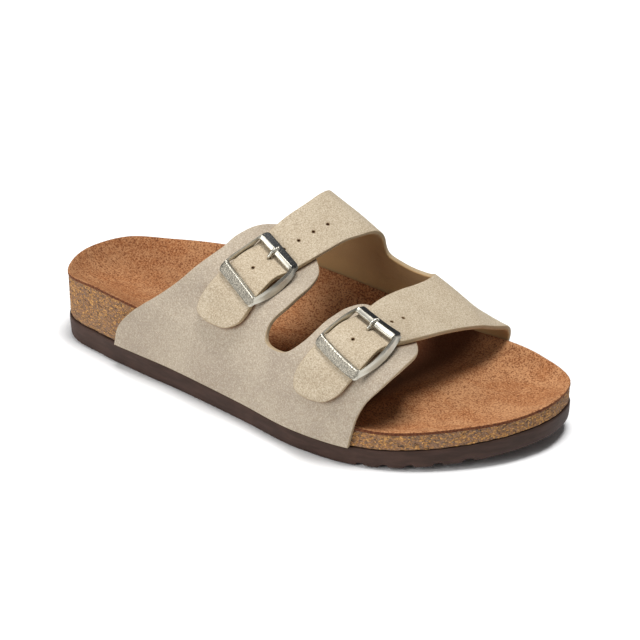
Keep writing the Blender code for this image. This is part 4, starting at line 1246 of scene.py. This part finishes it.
def silverFinish():
    finish = Finish("worn silver plate", {"Metallic": 1.0, "Roughness": 0.25})
    cast = finish.cells(1450.0)
    fine = finish.cloud(2600.0, detail=3.0, rough=0.7)
    haze = finish.cloud(300.0, detail=3.0, rough=0.6)
    stipple = finish.mark("stipple")
    shade = finish.mark("shade")
    shadeMottle = finish.band(fine, 0.56, 0.68) * 0.45
    pits = finish.band(cast, 0.34, 0.58) * stipple * 0.42
    colour = finish.paint(tint(frameLook["silver"]), stipple, frameLook["face"])
    # painted shade darkens the upper bar's outer face, in patches
    colour = finish.paint(colour, shade * (0.95 - shadeMottle), frameLook["shade"])
    finish.feed("Base Color", finish.paint(colour, pits, frameLook["shade"]))
    finish.feed("Roughness", 0.3 + 0.12 * haze + 0.12 * stipple + 0.2 * shade)
    finish.bump(((cast * stipple, 0.0003, 0.6), (fine * (stipple + shade), 0.00018, 0.5),
                 (haze, 0.0001, 0.1)))
    return finish


makeSole(soleFinish())
makeGranules(makeCork(corkFinish()), granuleFinish())
makeSock(sockFinish())
# the outer quarter's colour holds painted shade
makeUppers(quarterFinish("beige suede outer with painted shade", quarterLook["outerShadedFace"], quarterLook["outerGrain"]),
           quarterFinish("beige suede inner", quarterLook["innerFace"], quarterLook["innerGrain"]))
makeHoleRims(rimFinish())
silver = silverFinish()
makeBuckle("rear_buckle_frame", rearBuckle, frameLook["rear"], silver, "buckle_rear")
makeBuckle("front_buckle_frame", frontBuckle, frameLook["front"], silver, "buckle_front")
makePin("rear_buckle_pin", rearBuckle, frameLook["rear"], rearHoles, silver, "prong_rear")
makePin("front_buckle_pin", frontBuckle, frameLook["front"], frontHoles, silver, "prong_front")


# Studio

studio = {
    "floorSize": 6.0, "floorDrop": 0.0003, "floor": "fafafa", "sky": 0.13,
    # where a softbox hangs, where it looks, its side and its power
    "softboxes": (((0.24, 0.12, 2.3), (0.0, 0.0, 0.03), 0.9, 58.0),
                  ((-0.9, -2.2, 1.4), (0.0, 0.0, 0.04), 1.8, 50.0)),
}


def makeStudio():
    mesh = bpy.data.meshes.new("floor")
    half = studio["floorSize"] / 2
    corners = ((-half, -half), (half, -half), (half, half), (-half, half))
    mesh.from_pydata([(x, y, -studio["floorDrop"]) for x, y in corners], [], [(0, 1, 2, 3)])
    paper = Finish("studio paper", {"Roughness": 0.9, "Specular IOR Level": 0.1,
                                    "Base Color": tint(studio["floor"])})
    mesh.materials.append(paper.material)
    floor = bpy.data.objects.new("floor", mesh)
    bpy.context.scene.collection.objects.link(floor)
    world = bpy.data.worlds.new("soft sky")
    world.use_nodes = True
    sky = world.node_tree.nodes["Background"]
    sky.inputs["Color"].default_value = (1.0, 1.0, 1.0, 1.0)
    sky.inputs["Strength"].default_value = studio["sky"]
    bpy.context.scene.world = world
    for hung, aim, size, power in studio["softboxes"]:
        lamp = bpy.data.lights.new("softbox", "AREA")
        lamp.shape = "SQUARE"
        lamp.size = size
        lamp.energy = power
        softbox = bpy.data.objects.new("softbox", lamp)
        away = Vector(hung) - Vector(aim)
        turned = away.to_track_quat("Z", "Y").to_matrix().to_4x4()
        softbox.matrix_world = Matrix.Translation(hung) @ turned
        bpy.context.scene.collection.objects.link(softbox)
    bpy.context.scene.view_settings.view_transform = "Standard"


shot = {"azimuth": 34.77, "elevation": 26.24, "roll": -0.35, "lens": 117.07, "sensor": 36.0, "near": 0.01,
        "place": (0.518476, -0.725771, 0.47371)}


def makeCamera():
    turn, tilt, roll = (math.radians(shot[k]) for k in ("azimuth", "elevation", "roll"))
    back = Vector((math.sin(turn) * math.cos(tilt), -math.cos(turn) * math.cos(tilt), math.sin(tilt)))
    right = Vector((math.cos(turn), math.sin(turn), 0.0))
    up = back.cross(right)
    rightRolled = right * math.cos(roll) + up * math.sin(roll)
    upRolled = up * math.cos(roll) - right * math.sin(roll)
    lens = bpy.data.cameras.new("shot")
    lens.lens = shot["lens"]
    lens.sensor_width = shot["sensor"]
    lens.clip_start = shot["near"]
    camera = bpy.data.objects.new("shot", lens)
    columns = Matrix((rightRolled, upRolled, back)).transposed().to_4x4()
    camera.matrix_world = Matrix.Translation(shot["place"]) @ columns
    bpy.context.scene.collection.objects.link(camera)
    bpy.context.scene.camera = camera


makeStudio()
makeCamera()
print("studio and camera set")
